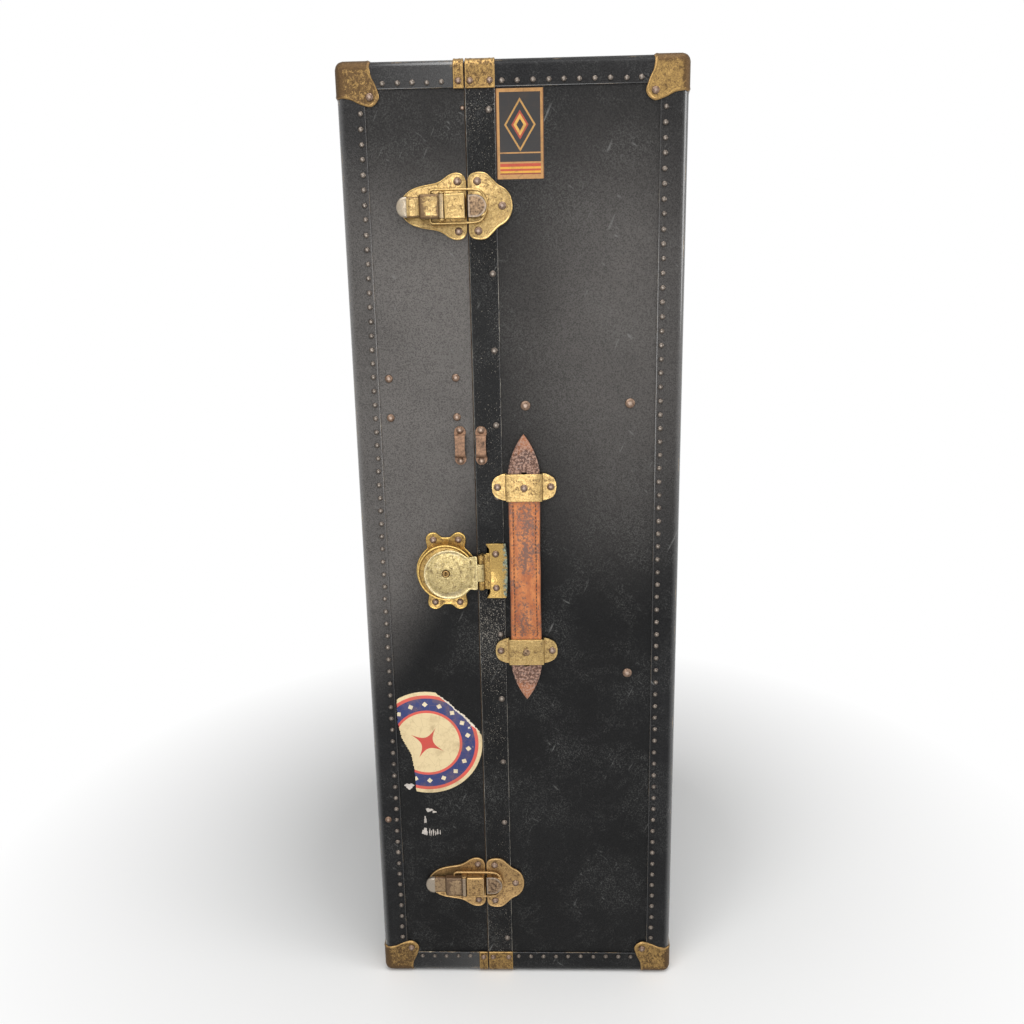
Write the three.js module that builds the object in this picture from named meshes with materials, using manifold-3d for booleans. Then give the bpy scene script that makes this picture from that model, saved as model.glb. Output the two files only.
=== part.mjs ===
// A steamer-size wardrobe trunk that stands on end. The narrow half holds drawers, the wide half
// holds clothes on a sliding trolley. Three hinges join the halves at the back, and two draw
// latches and a hasp lock close them at the front.
// Lengths are in millimetres. X points right, the front looks along -Y and Z points up. The origin
// lies on the floor under the middle of the closed trunk with its hardware.

import * as THREE from 'three';
import { RoundedBoxGeometry } from 'three/addons/geometries/RoundedBoxGeometry.js';
import { mergeVertices } from 'three/addons/utils/BufferGeometryUtils.js';
import Module from 'manifold-3d';

const wasm = await Module();
wasm.setup();

// Driving dimensions of the fibre-covered body
const trunk = {
  width: 343,
  depth: 559,
  height: 1029,
  narrowDepth: 125,
  wall: 8,
  panel: 8,
  edgeRadius: 6,
};

// Clearances shared by the whole trunk
const seatGap = 0.3;
const seamGap = 0.6;
const runGap = 0.5;
const fuse = 0.4;
const overrun = 30;
const mergeDistance = 0.001;

// Sheet strips that wrap the edges
const binding = { thickness: 1.2, postWidth: 26.5, railWidth: 24.8 };
const band = { from: 0.6, to: 29.5 };
const lip = { reach: 8, seat: 20, thickness: 1.6, gap: 0.5 };

// Formed sheet hardware on the edges
const cap = { size: 43, thickness: 1.2, rivetIn: 31.8 };
const clamp = { tall: 26, narrowWidth: 10.2, wideFrom: 0.8, wideTo: 30, rivetIn: 19, rivetInset: 5 };

// Rivet heads, all low domes
const rivet = { radius: 4, height: 1.9 };

// Draw latches, measured from the seam: inward is over the narrow half, outward over the wide one
const latch = {
  topDown: 136,
  bottomUp: 122,
  plateThickness: 1.8,
  plateClear: 0.8,
  plateLength: 69,
  plateHalfHeight: 32.5,
  plateRivetIn: 9.5,
  plateRivetUp: 24,
  boxFrom: 2.2,
  boxTo: 22.2,
  boxHalfHeight: 11.9,
  boxReach: 12.2,
  pivotIn: 25.5,
  pivotReach: 11,
  pinRadius: 1.1,
  boreRadius: 1.5,
  knuckleRadius: 2.3,
  earThickness: 1.4,
  earHalfLength: 3,
};
const lever = {
  halfHeight: 11.7,
  coverFrom: 27.5,
  coverTo: 48,
  underReach: 4.4,
  neckHalfHeight: 9.4,
  neckTo: 58,
  neckReach: 7.4,
  tipTo: 71.4,
  tipReach: 8.8,
  tipStraight: 5,
};
const bail = {
  wireRadius: 1.25,
  boreRadius: 1.7,
  pinIn: 37.5,
  reach: 6,
  endInset: 5,
  halfWidth: 16.1,
  bend: 2.6,
  tipOut: 19.4,
};
const strike = {
  clear: 0.8,
  length: 44.4,
  halfHeight: 32.7,
  rivetOut: 10.4,
  rivetUp: 23.8,
  tailRivetOut: 35,
  blockTo: 17.6,
  blockHalfHeight: 9.6,
  tongueTo: 19.6,
  tongueHalfHeight: 10.9,
  tongueThickness: 1.8,
};

// Hasp lock
const lock = {
  belowMiddle: 4,
  centreIn: 34,
  caseRadius: 31.7,
  caseReach: 9.2,
  plateRadius: 33.4,
  plateHalfWidth: 20,
  lobeRadius: 8.6,
  lobeSide: 13.7,
  lobeUp: 35.6,
  plugRadius: 3.7,
  plugReach: 13,
  plugFoot: 3.6,
  keySlotWidth: 1.6,
  keySlotLength: 5,
  keySlotDepth: 4,
};
const hasp = {
  discRadius: 28.5,
  thickness: 2,
  holeGap: 1.2,
  neckHalfHeight: 19,
  axisOut: 4.6,
  axisReach: 7.2,
  knuckleRadius: 3.6,
  knuckleHalfHeight: 9.7,
  pinRadius: 1.5,
  neckClear: 0.6,
};
const haspLeaf = {
  from: 9.8,
  to: 31.6,
  bulge: 3,
  halfHeight: 31.2,
  waistHalfHeight: 19.5,
  rivetOut: 20.2,
  rivetUp: 19.4,
};

// Leather handle and its two loops
const handle = {
  belowMiddle: 3.5,
  centreOut: 52.5,
  halfWidth: 17,
  halfLength: 150.5,
  pointLength: 43,
  thickness: 4.8,
  seatReach: 2.5,
  gripHalfLength: 56.5,
  gripEndLift: 3.6,
  gripCrown: 2.2,
  gripThickness: 5.6,
  slide: 12,
  slotHalfWidth: 3,
  slotShow: 2,
};
const loop = {
  spacing: 93.5,
  halfWidth: 20,
  halfHeight: 15,
  sheet: 1.8,
  lobeOut: 34.4,
  lobeHalfHeight: 15.5,
  rivetOut: 28.6,
  shankRadius: 2.2,
  endPast: 4,
};
const footman = {
  upShare: 0.6317,
  halfHeight: 20.6,
  halfWidth: 6.1,
  sheet: 1.6,
  bridgeHalfHeight: 9.2,
  rise: 5.6,
  ramp: 3.2,
  narrowIn: 14.8,
  wideOut: 7.7,
  rivetUp: 16.6,
};

// Back hinges
const hinge = {
  endInset: 110,
  halfHeight: 35,
  knuckles: 5,
  knuckleGap: 0.4,
  knuckleRadius: 4.2,
  axisReach: 4.9,
  leafWidth: 36,
  leafThickness: 1.8,
  leafClear: 5,
  pinRadius: 2,
  boreRadius: 2.5,
  rivetIn: 24,
  rivetUp: 24,
};

// Drawer rack and drawers in the narrow half
const rack = {
  side: 6,
  shelf: 5,
  recess: 2,
  underRail: 4,
  cellHeightShares: [0.15, 0.15, 0.15, 0.17, 0.38],
};
const drawer = { wall: 5, floor: 4, sideGap: 0.6, topGap: 3, backGap: 4, knobRadius: 9, knobReach: 11 };

// Clothes trolley and hangers in the wide half
const rail = { width: 44, height: 15, sheet: 3, slot: 16, startIn: 24, endClear: 6 };
const trolley = {
  barDrop: 24,
  barRadius: 5,
  postWidth: 10,
  postThickness: 6,
  flange: 4,
  wallClear: 22,
};
const hanger = {
  count: 4,
  pitch: 22,
  firstIn: 19,
  span: 430,
  thickness: 12,
  depth: 26,
  shoulderDrop: 62,
  wireRadius: 1.8,
  stem: 34,
  tipRadius: 9,
};

// Numbers of sides and steps that stand for round forms
const sides = {
  pin: 8,
  knuckle: 10,
  rivet: 8,
  disc: 24,
  wire: 6,
  bailSteps: 30,
  hookSteps: 10,
  tip: 8,
  block: 2,
  curve: 4,
};

// Outlines, as shares of the length and half height of the piece that has them
const latchOutlineShares = [
  [0, 0.74], [0.03, 0.89], [0.08, 0.975], [0.14, 1], [0.2, 0.985], [0.27, 0.92], [0.36, 0.79],
  [0.46, 0.705], [0.66, 0.63], [0.79, 0.545], [0.87, 0.44], [0.93, 0.31], [0.98, 0.15], [1, 0],
];
const strikeOutlineShares = [
  [0, 0.76], [0.03, 0.88], [0.11, 0.965], [0.27, 1], [0.42, 0.955], [0.55, 0.8], [0.68, 0.63],
  [0.83, 0.51], [0.94, 0.34], [0.99, 0.15], [1, 0],
];
const tongueOutlineShares = [[0, 1], [0.45, 1], [0.7, 0.86], [0.88, 0.55], [0.97, 0.26], [1, 0]];
const capOutlineShares = [
  [0.82, 0], [0.8, 0.13], [0.83, 0.33], [0.92, 0.52], [0.99, 0.74], [0.965, 0.86],
  [0.86, 0.965], [0.74, 0.99], [0.52, 0.92], [0.33, 0.83], [0.13, 0.8], [0, 0.82],
];
const bailBendShares = [[0.4, 0.97], [0.66, 0.88], [0.84, 0.66], [0.95, 0.36]];
const hookStartShare = -0.14;
const hookEndShare = 0.5;

// Plain rivets on the front. The narrow half's stand in two rows above its footman loop, the wide
// half's have their places as shares of the half's width and the body's height
const narrowRivets = { acrossShares: [0.296, 0.86], aboveLoop: [30.4, 71.8] };
const wideRivetShares = [[0.252, 0.672], [0.757, 0.673], [0.757, 0.378]];

// Places worked out from the sizes
const bindingOuter = seatGap + binding.thickness;
const hardwareInner = bindingOuter + seatGap;
const hardwareOuter = hardwareInner + cap.thickness;
const plateTop = seatGap + latch.plateThickness;
const strikeTop = hardwareInner + latch.plateThickness;
const left = -trunk.width / 2;
const right = trunk.width / 2;
const seam = left + trunk.narrowDepth;
const bottom = hardwareOuter;
const top = bottom + trunk.height;
const middle = (bottom + top) / 2;
const gripReach = handle.seatReach + handle.gripEndLift + handle.gripThickness + handle.gripCrown;
const frontReach = Math.max(lock.plugReach, latch.pivotReach + latch.knuckleRadius, gripReach);
const rearReach = hinge.axisReach + hinge.knuckleRadius;
const front = -trunk.depth / 2 + (frontReach - rearReach) / 2;
const rear = front + trunk.depth;
const narrowMouth = seam - seamGap / 2;
const wideMouth = seam + seamGap / 2;
const footmanUp = trunk.height * footman.upShare;

// Finishes
const finish = {
  fibre: new THREE.MeshStandardMaterial({ color: 0x232427, roughness: 0.55, metalness: 0 }),
  wood: new THREE.MeshStandardMaterial({ color: 0x8a6239, roughness: 0.6, metalness: 0 }),
  enamel: new THREE.MeshStandardMaterial({ color: 0x131314, roughness: 0.3, metalness: 0.4 }),
  brass: new THREE.MeshStandardMaterial({ color: 0xb8923f, roughness: 0.35, metalness: 1 }),
  rust: new THREE.MeshStandardMaterial({ color: 0x7a4a2c, roughness: 0.6, metalness: 0.7 }),
  steel: new THREE.MeshStandardMaterial({ color: 0x8d8a86, roughness: 0.4, metalness: 1 }),
  leather: new THREE.MeshStandardMaterial({ color: 0xb8683a, roughness: 0.6, metalness: 0 }),
  lining: new THREE.MeshStandardMaterial({ color: 0x6f7a70, roughness: 0.9, metalness: 0 }),
};

// Solids: a closed three.js geometry becomes a manifold, and the other way round

function solidOf(geometry) {
  const bare = geometry.index ? geometry.toNonIndexed() : geometry.clone();
  bare.deleteAttribute('normal');
  bare.deleteAttribute('uv');
  const merged = mergeVertices(bare, mergeDistance);
  const corners = merged.index.array;
  const kept = [];
  for (let i = 0; i < corners.length; i += 3) {
    const [a, b, c] = [corners[i], corners[i + 1], corners[i + 2]];
    if (a !== b && b !== c && c !== a) kept.push(a, b, c);
  }
  const points = merged.attributes.position;
  if (signedVolume(points, kept) < 0) kept.reverse();
  const mesh = new wasm.Mesh({
    numProp: 3,
    vertProperties: new Float32Array(points.array),
    triVerts: new Uint32Array(kept),
  });
  return new wasm.Manifold(mesh);
}

function signedVolume(points, corners) {
  const [a, b, c] = [new THREE.Vector3(), new THREE.Vector3(), new THREE.Vector3()];
  let sum = 0;
  for (let i = 0; i < corners.length; i += 3) {
    a.fromBufferAttribute(points, corners[i]);
    b.fromBufferAttribute(points, corners[i + 1]);
    c.fromBufferAttribute(points, corners[i + 2]);
    sum += a.dot(b.cross(c));
  }
  return sum;
}

function meshOf(name, solid, material) {
  const { vertProperties, triVerts } = solid.getMesh();
  const geometry = new THREE.BufferGeometry();
  geometry.setAttribute('position', new THREE.BufferAttribute(vertProperties, 3));
  geometry.setIndex(new THREE.BufferAttribute(triVerts, 1));
  const mesh = new THREE.Mesh(geometry, material);
  mesh.name = name;
  return mesh;
}

function join(...solids) {
  return solids.reduce((sum, solid) => sum.add(solid));
}

// A box between two values on each axis
function block(x0, x1, y0, y1, z0, z1) {
  const box = new THREE.BoxGeometry(x1 - x0, y1 - y0, z1 - z0);
  box.translate((x0 + x1) / 2, (y0 + y1) / 2, (z0 + z1) / 2);
  return solidOf(box);
}

// A round bar of a radius between two values on one axis, through the point given for the others
function bar(axis, radius, from, to, u, v, count) {
  const round = new THREE.CylinderGeometry(radius, radius, to - from, count);
  const at = (from + to) / 2;
  if (axis === 'x') round.rotateZ(Math.PI / 2).translate(at, u, v);
  if (axis === 'y') round.translate(u, at, v);
  if (axis === 'z') round.rotateX(Math.PI / 2).translate(u, v, at);
  return solidOf(round);
}

// An outline in XY raised along Z
function plate(shape, from, to) {
  const raised = new THREE.ExtrudeGeometry(shape, {
    depth: to - from,
    bevelEnabled: false,
    curveSegments: sides.curve,
  });
  return solidOf(raised.translate(0, 0, from));
}

// A profile drawn with its x along Y and its y along Z, swept along X
function sweepAcross(shape, from, to) {
  const swept = new THREE.ExtrudeGeometry(shape, {
    depth: to - from,
    bevelEnabled: false,
    curveSegments: sides.curve,
  });
  swept.translate(0, 0, from);
  const turn = new THREE.Matrix4().makeBasis(
    new THREE.Vector3(0, 1, 0),
    new THREE.Vector3(0, 0, 1),
    new THREE.Vector3(1, 0, 0),
  );
  return solidOf(swept.applyMatrix4(turn));
}

// A wire along a curve
function wire(curve, radius, steps) {
  const section = new THREE.Shape();
  for (let i = 0; i < sides.wire; i++) {
    const turn = (2 * Math.PI * i) / sides.wire;
    const point = [radius * Math.cos(turn), radius * Math.sin(turn)];
    if (i === 0) section.moveTo(...point);
    else section.lineTo(...point);
  }
  section.closePath();
  return solidOf(new THREE.ExtrudeGeometry(section, { steps, extrudePath: curve }));
}

// A rivet head that stands on the XY plane at a height
function rivetHead(x, y, height) {
  const shoulderShare = 0.72;
  const profile = [
    new THREE.Vector2(0, -fuse),
    new THREE.Vector2(rivet.radius, -fuse),
    new THREE.Vector2(rivet.radius * shoulderShare, rivet.height * shoulderShare),
    new THREE.Vector2(0, rivet.height),
  ];
  const dome = new THREE.LatheGeometry(profile, sides.rivet);
  return solidOf(dome.rotateX(Math.PI / 2).translate(x, y, height));
}

// A rivet head on any outer face of the body: face is the axis and direction that it looks along
function faceRivet(face, x, y, z) {
  const looks = new THREE.Quaternion().setFromUnitVectors(new THREE.Vector3(0, 0, 1), face);
  const { vertProperties, triVerts } = rivetHead(0, 0, 0).getMesh();
  const geometry = new THREE.BufferGeometry();
  geometry.setAttribute('position', new THREE.BufferAttribute(vertProperties, 3));
  geometry.setIndex(new THREE.BufferAttribute(triVerts, 1));
  return solidOf(geometry.applyQuaternion(looks).translate(x, y, z));
}

// An outline through share points that is mirrored below its long axis. It starts at x = from
function mirroredOutline(shares, from, length, halfHeight) {
  const upper = shares.map(([along, up]) => new THREE.Vector2(from + along * length, up * halfHeight));
  const lower = upper.slice(0, -1).reverse().map((point) => new THREE.Vector2(point.x, -point.y));
  const shape = new THREE.Shape();
  shape.setFromPoints([...upper, ...lower]);
  return shape;
}

// The closed body as one rounded block that stands off its surface by an offset
function bodyBlock(offset) {
  const size = [trunk.width, trunk.depth, trunk.height].map((length) => length + 2 * offset);
  const box = new RoundedBoxGeometry(...size, sides.block, trunk.edgeRadius + offset);
  return solidOf(box.translate(0, (front + rear) / 2, middle));
}

// Everything between two x values
function slab(x0, x1) {
  return block(x0, x1, front - overrun, rear + overrun, bottom - overrun, top + overrun);
}

const root = new THREE.Group();
root.name = 'wardrobe_trunk';

// Front hardware lives in a turned group: x from the seam, y up from the body's bottom and z out
const face = new THREE.Group();
face.rotation.x = Math.PI / 2;
face.position.set(seam, front, bottom);
root.add(face);

// Body halves: a side panel and a frame of four walls each

const narrow = { name: 'narrow', outer: left, inner: left + trunk.panel, mouth: narrowMouth, way: 1 };
const wide = { name: 'wide', outer: right, inner: right - trunk.panel, mouth: wideMouth, way: -1 };

function between(a, b) {
  return slab(Math.min(a, b), Math.max(a, b));
}

function sidePanel(half) {
  const solid = bodyBlock(0).intersect(between(half.outer - half.way * overrun, half.inner));
  return meshOf(`${half.name}_side_panel`, solid, finish.fibre);
}

function plainRivets(half) {
  const span = Math.abs(half.outer - half.mouth);
  const base = Math.min(half.outer, half.mouth);
  const places = half === narrow
    ? narrowRivets.acrossShares.flatMap((across) =>
      narrowRivets.aboveLoop.map((above) => [across, footmanUp + above]))
    : wideRivetShares.map(([across, up]) => [across, up * trunk.height]);
  return places.map(([across, up]) =>
    faceRivet(new THREE.Vector3(0, -1, 0), base + span * across, front, bottom + up));
}

function frame(half) {
  const hollow = block(
    left, right,
    front + trunk.wall, rear - trunk.wall,
    bottom + trunk.wall, top - trunk.wall,
  );
  const solid = bodyBlock(0)
    .intersect(between(half.inner + half.way * seatGap, half.mouth))
    .subtract(hollow);
  return meshOf(`${half.name}_frame`, join(solid, ...plainRivets(half)), finish.fibre);
}

for (const half of [narrow, wide]) root.add(sidePanel(half), frame(half));

// Fibre binding on the outer edges of each half, and the enamelled band round the wide half's mouth

function edgeSheet(inner, outer) {
  return bodyBlock(outer).subtract(bodyBlock(inner));
}

const bandZone = [seam, seam + band.to + seatGap, rear - binding.railWidth];

function edgeBinding(half) {
  const windowEdge = half.outer + half.way * binding.postWidth;
  const past = half.mouth + half.way * overrun;
  const [x0, x1] = [Math.min(windowEdge, past), Math.max(windowEdge, past)];
  const outside = [half.outer - half.way * overrun, windowEdge].sort((a, b) => a - b);
  const facesWindow = block(
    x0, x1, front - overrun, rear + overrun, bottom + binding.railWidth, top - binding.railWidth,
  );
  const endsWindow = block(
    x0, x1, front + binding.railWidth, rear - binding.railWidth, bottom - overrun, top + overrun,
  );
  const sideWindow = block(
    ...outside, front + binding.postWidth, rear - binding.postWidth,
    bottom + binding.postWidth, top - binding.postWidth,
  );
  const strip = edgeSheet(seatGap, bindingOuter)
    .intersect(between(half.outer - half.way * overrun, half.mouth));
  const cut = strip.subtract(facesWindow).subtract(endsWindow).subtract(sideWindow);
  if (half === narrow) return meshOf('narrow_binding', cut, finish.fibre);
  const underBand = block(
    bandZone[0], bandZone[1], front - overrun, bandZone[2] + seatGap, bottom - overrun, top + overrun,
  );
  return meshOf('wide_binding', cut.subtract(underBand), finish.fibre);
}

function closingBand() {
  const run = block(
    seam + band.from, seam + band.to,
    front - overrun, bandZone[2],
    bottom - overrun, top + overrun,
  );
  return meshOf('closing_band', edgeSheet(seatGap, bindingOuter).intersect(run), finish.enamel);
}

root.add(edgeBinding(narrow), edgeBinding(wide), closingBand());

// Dust lip: a thin ring in the wide half's mouth that enters the narrow half

function dustLip() {
  const inset = trunk.wall + lip.gap;
  const ring = (depth) => block(
    seam - lip.reach, seam + lip.seat,
    front + depth, rear - depth,
    bottom + depth, top - depth,
  );
  const bore = block(
    seam - lip.reach - overrun, seam + lip.seat + overrun,
    front + inset + lip.thickness, rear - inset - lip.thickness,
    bottom + inset + lip.thickness, top - inset - lip.thickness,
  );
  return meshOf('dust_lip', ring(inset).subtract(bore), finish.steel);
}

root.add(dustLip());

// Corner caps: three scalloped faces of one formed sheet, with a rivet in each lobe

function capOutline(wayX, wayY) {
  const shape = new THREE.Shape();
  const points = capOutlineShares.map(([a, b]) =>
    new THREE.Vector2(-wayX * a * cap.size, -wayY * b * cap.size));
  shape.moveTo(wayX * overrun, wayY * overrun);
  shape.lineTo(points[0].x, wayY * overrun);
  for (const point of points) shape.lineTo(point.x, point.y);
  shape.lineTo(wayX * overrun, points[points.length - 1].y);
  shape.closePath();
  return shape;
}

function cornerCap(half, depthWay, heightWay) {
  const corner = new THREE.Vector3(
    half.outer,
    depthWay < 0 ? front : rear,
    heightWay < 0 ? bottom : top,
  );
  const sideWay = -half.way;
  const skin = trunk.edgeRadius;
  const place = (solid) => solid.translate([corner.x, corner.y, corner.z]);
  // Each prism is drawn in its own face and cuts only the sheet near that face
  const endPrism = plate(capOutline(sideWay, depthWay), -skin, overrun);
  const endCut = heightWay > 0 ? endPrism : plate(capOutline(sideWay, depthWay), -overrun, skin);
  const facePrism = plate(capOutline(sideWay, heightWay), -skin, overrun)
    .rotate([90, 0, 0]);
  const backPrism = plate(capOutline(sideWay, heightWay), -overrun, skin)
    .rotate([90, 0, 0]);
  const faceCut = depthWay < 0 ? facePrism : backPrism;
  const sideShape = capOutline(depthWay, heightWay);
  const sideCut = sideWay > 0
    ? sweepAcross(sideShape, -skin, overrun)
    : sweepAcross(sideShape, -overrun, skin);
  const reach = join(place(endCut), place(faceCut), place(sideCut));
  const inX = corner.x - sideWay * cap.rivetIn;
  const inY = corner.y - depthWay * cap.rivetIn;
  const inZ = corner.z - heightWay * cap.rivetIn;
  const heads = [
    faceRivet(new THREE.Vector3(0, depthWay, 0), inX, corner.y + depthWay * hardwareOuter, inZ),
    faceRivet(new THREE.Vector3(sideWay, 0, 0), corner.x + sideWay * hardwareOuter, inY, inZ),
  ];
  if (heightWay > 0) {
    heads.push(faceRivet(new THREE.Vector3(0, 0, 1), inX, inY, corner.z + hardwareOuter));
  }
  const depthName = depthWay < 0 ? 'front' : 'rear';
  const heightName = heightWay < 0 ? 'bottom' : 'top';
  const sheet = edgeSheet(hardwareInner, hardwareOuter).intersect(reach);
  return meshOf(`${half.name}_corner_${depthName}_${heightName}`, join(sheet, ...heads), finish.brass);
}

for (const half of [narrow, wide]) {
  for (const depthWay of [-1, 1]) {
    for (const heightWay of [1, -1]) root.add(cornerCap(half, depthWay, heightWay));
  }
}

// Seam clamps: a strap of sheet over each front edge, beside the seam

function seamClamp(half, heightWay) {
  const [x0, x1] = half === narrow
    ? [seam - clamp.narrowWidth - seamGap, seam - seamGap]
    : [seam + clamp.wideFrom, seam + clamp.wideTo];
  const edge = heightWay > 0 ? top : bottom;
  const inside = edge - heightWay * clamp.tall;
  const past = edge + heightWay * overrun;
  const run = block(
    x0, x1, front - overrun, front + clamp.tall, Math.min(inside, past), Math.max(inside, past),
  );
  const places = half === narrow
    ? [(x0 + x1) / 2]
    : [x0 + clamp.rivetInset, x1 - clamp.rivetInset];
  const heads = places.map((x) =>
    faceRivet(
      new THREE.Vector3(0, -1, 0), x, front - hardwareOuter, edge - heightWay * clamp.rivetIn,
    ));
  const sheet = edgeSheet(hardwareInner, hardwareOuter).intersect(run);
  const name = `${half.name}_clamp_${heightWay > 0 ? 'top' : 'bottom'}`;
  return meshOf(name, join(sheet, ...heads), finish.brass);
}

for (const half of [narrow, wide]) root.add(seamClamp(half, 1), seamClamp(half, -1));

// Back hinges: the narrow leaf has the outer and middle knuckles and the pin

function hingeLeaf(half, name, z) {
  const axisY = rear + hinge.axisReach;
  const pitch = (2 * hinge.halfHeight) / hinge.knuckles;
  const way = -half.way;
  const [near, far] = [seam + way * hinge.leafClear, seam + way * hinge.leafWidth];
  const [x0, x1] = [Math.min(near, far), Math.max(near, far)];
  const leafBack = rear + seatGap;
  const leafFace = leafBack + hinge.leafThickness;
  let solid = block(x0, x1, leafBack, leafFace, z - hinge.halfHeight, z + hinge.halfHeight);
  for (let i = 0; i < hinge.knuckles; i++) {
    const mine = (i % 2 === 0) === (half === narrow);
    if (!mine) continue;
    const low = z - hinge.halfHeight + i * pitch + hinge.knuckleGap / 2;
    const high = low + pitch - hinge.knuckleGap;
    const knuckle = bar('z', hinge.knuckleRadius, low, high, seam, axisY, sides.knuckle);
    const web = [seam, near + way * fuse].sort((a, b) => a - b);
    const webSolid = block(...web, leafFace - hinge.leafThickness, leafFace, low, high);
    solid = join(solid, knuckle, webSolid);
  }
  const reach = z + hinge.halfHeight;
  const pin = bar('z', hinge.pinRadius, z - hinge.halfHeight, reach, seam, axisY, sides.pin);
  const bore = bar('z', hinge.boreRadius, z - hinge.halfHeight, reach, seam, axisY, sides.pin);
  solid = half === narrow ? solid.add(pin) : solid.subtract(bore);
  const across = seam + way * hinge.rivetIn;
  for (const up of [-hinge.rivetUp, 0, hinge.rivetUp]) {
    solid = solid.add(faceRivet(new THREE.Vector3(0, 1, 0), across, leafFace, z + up));
  }
  return meshOf(`hinge_leaf_${half.name}_${name}`, solid, finish.brass);
}

const hingePlaces = {
  top: top - hinge.endInset,
  middle,
  bottom: bottom + hinge.endInset,
};
for (const [name, z] of Object.entries(hingePlaces)) {
  root.add(hingeLeaf(narrow, name, z), hingeLeaf(wide, name, z));
}

// Draw latches: a plate with a fixed box and ears, a lever on the plate's pin, and a wire bail

function latchPlate(name, up) {
  const outline = mirroredOutline(
    latchOutlineShares, latch.plateClear, latch.plateLength, latch.plateHalfHeight,
  );
  const flat = plate(outline, seatGap, plateTop).mirror([1, 0, 0]);
  const half = latch.boxHalfHeight;
  const box = block(-latch.boxTo, -latch.boxFrom, -half, half, plateTop - fuse, latch.boxReach);
  const earFrom = lever.halfHeight + runGap;
  const earTo = earFrom + latch.earThickness;
  const earTop = latch.pivotReach + latch.knuckleRadius;
  const ears = [1, -1].map((way) => {
    const [y0, y1] = [way * earFrom, way * earTo].sort((a, b) => a - b);
    const x = -latch.pivotIn;
    return block(
      x - latch.earHalfLength, x + latch.earHalfLength, y0, y1, plateTop - fuse, earTop,
    );
  });
  const pin = bar('y', latch.pinRadius, -earTo, earTo, -latch.pivotIn, latch.pivotReach, sides.pin);
  const heads = [1, -1].map((way) =>
    rivetHead(-latch.plateRivetIn, way * latch.plateRivetUp, plateTop));
  const mesh = meshOf(`latch_plate_${name}`, join(flat, box, ...ears, pin, ...heads), finish.brass);
  mesh.position.y = up;
  return mesh;
}

function latchLever(name, up) {
  const { halfHeight, underReach } = lever;
  const knuckle = bar(
    'y', latch.knuckleRadius, -halfHeight, halfHeight,
    -latch.pivotIn, latch.pivotReach, sides.knuckle,
  );
  const bridge = block(
    -lever.coverFrom - fuse, -latch.pivotIn, -halfHeight, halfHeight,
    latch.pivotReach - latch.knuckleRadius / 2, latch.boxReach,
  );
  const cover = block(
    -lever.coverTo, -lever.coverFrom, -halfHeight, halfHeight, underReach, latch.boxReach,
  );
  const neck = block(
    -lever.neckTo - fuse, -lever.coverTo + fuse, -lever.neckHalfHeight, lever.neckHalfHeight,
    underReach, lever.neckReach,
  );
  const tipShape = new THREE.Shape();
  const round = lever.tipTo - lever.neckTo - lever.tipStraight;
  tipShape.moveTo(-lever.neckTo, -lever.neckHalfHeight);
  tipShape.lineTo(-lever.neckTo, lever.neckHalfHeight);
  tipShape.lineTo(-lever.neckTo - lever.tipStraight, lever.neckHalfHeight);
  for (let i = 1; i < sides.tip; i++) {
    const turn = (Math.PI * i) / sides.tip;
    tipShape.lineTo(
      -lever.neckTo - lever.tipStraight - round * Math.sin(turn),
      lever.neckHalfHeight * Math.cos(turn),
    );
  }
  tipShape.lineTo(-lever.neckTo - lever.tipStraight, -lever.neckHalfHeight);
  tipShape.closePath();
  const tip = plate(tipShape, underReach, lever.tipReach);
  const pinBore = bar(
    'y', latch.boreRadius, -overrun, overrun, -latch.pivotIn, latch.pivotReach, sides.pin,
  );
  const bailBore = bar('y', bail.boreRadius, -overrun, overrun, -bail.pinIn, bail.reach, sides.pin);
  const solid = join(knuckle, bridge, cover, neck, tip).subtract(pinBore).subtract(bailBore);
  const mesh = meshOf(`latch_lever_${name}`, solid, finish.brass);
  mesh.position.y = up;
  return mesh;
}

function latchBail(name, up) {
  const side = bail.halfWidth;
  const arm = [
    [-bail.pinIn, lever.halfHeight - bail.endInset],
    [-bail.pinIn, side - bail.bend],
    [-bail.pinIn + bail.bend, side],
  ];
  const curve = bailBendShares.map(([along, out]) => [along * bail.tipOut, out * side]);
  const upper = [...arm, ...curve].map(([x, y]) => new THREE.Vector3(x, y, bail.reach));
  const tip = new THREE.Vector3(bail.tipOut, 0, bail.reach);
  const lower = [...upper].reverse().map((point) => new THREE.Vector3(point.x, -point.y, point.z));
  const route = new THREE.CatmullRomCurve3([...upper, tip, ...lower], false, 'centripetal');
  const mesh = meshOf(`latch_bail_${name}`, wire(route, bail.wireRadius, sides.bailSteps), finish.brass);
  mesh.position.y = up;
  return mesh;
}

function latchStrike(name, up) {
  const flatShape = mirroredOutline(
    strikeOutlineShares, strike.clear, strike.length, strike.halfHeight,
  );
  const tongueBase = bail.reach + bail.wireRadius + seatGap;
  const blockShape = mirroredOutline(
    tongueOutlineShares, strike.clear, strike.blockTo - strike.clear, strike.blockHalfHeight,
  );
  const tongueShape = mirroredOutline(
    tongueOutlineShares, strike.clear, strike.tongueTo - strike.clear, strike.tongueHalfHeight,
  );
  const solid = join(
    plate(flatShape, hardwareInner, strikeTop),
    plate(blockShape, strikeTop - fuse, tongueBase + fuse),
    plate(tongueShape, tongueBase, tongueBase + strike.tongueThickness),
    rivetHead(strike.rivetOut, strike.rivetUp, strikeTop),
    rivetHead(strike.rivetOut, -strike.rivetUp, strikeTop),
    rivetHead(strike.tailRivetOut, 0, strikeTop),
  );
  const mesh = meshOf(`strike_${name}`, solid, finish.brass);
  mesh.position.y = up;
  return mesh;
}

const latchPlaces = { top: trunk.height - latch.topDown, bottom: latch.bottomUp };
for (const [name, up] of Object.entries(latchPlaces)) {
  face.add(latchPlate(name, up), latchLever(name, up), latchBail(name, up), latchStrike(name, up));
}

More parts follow.
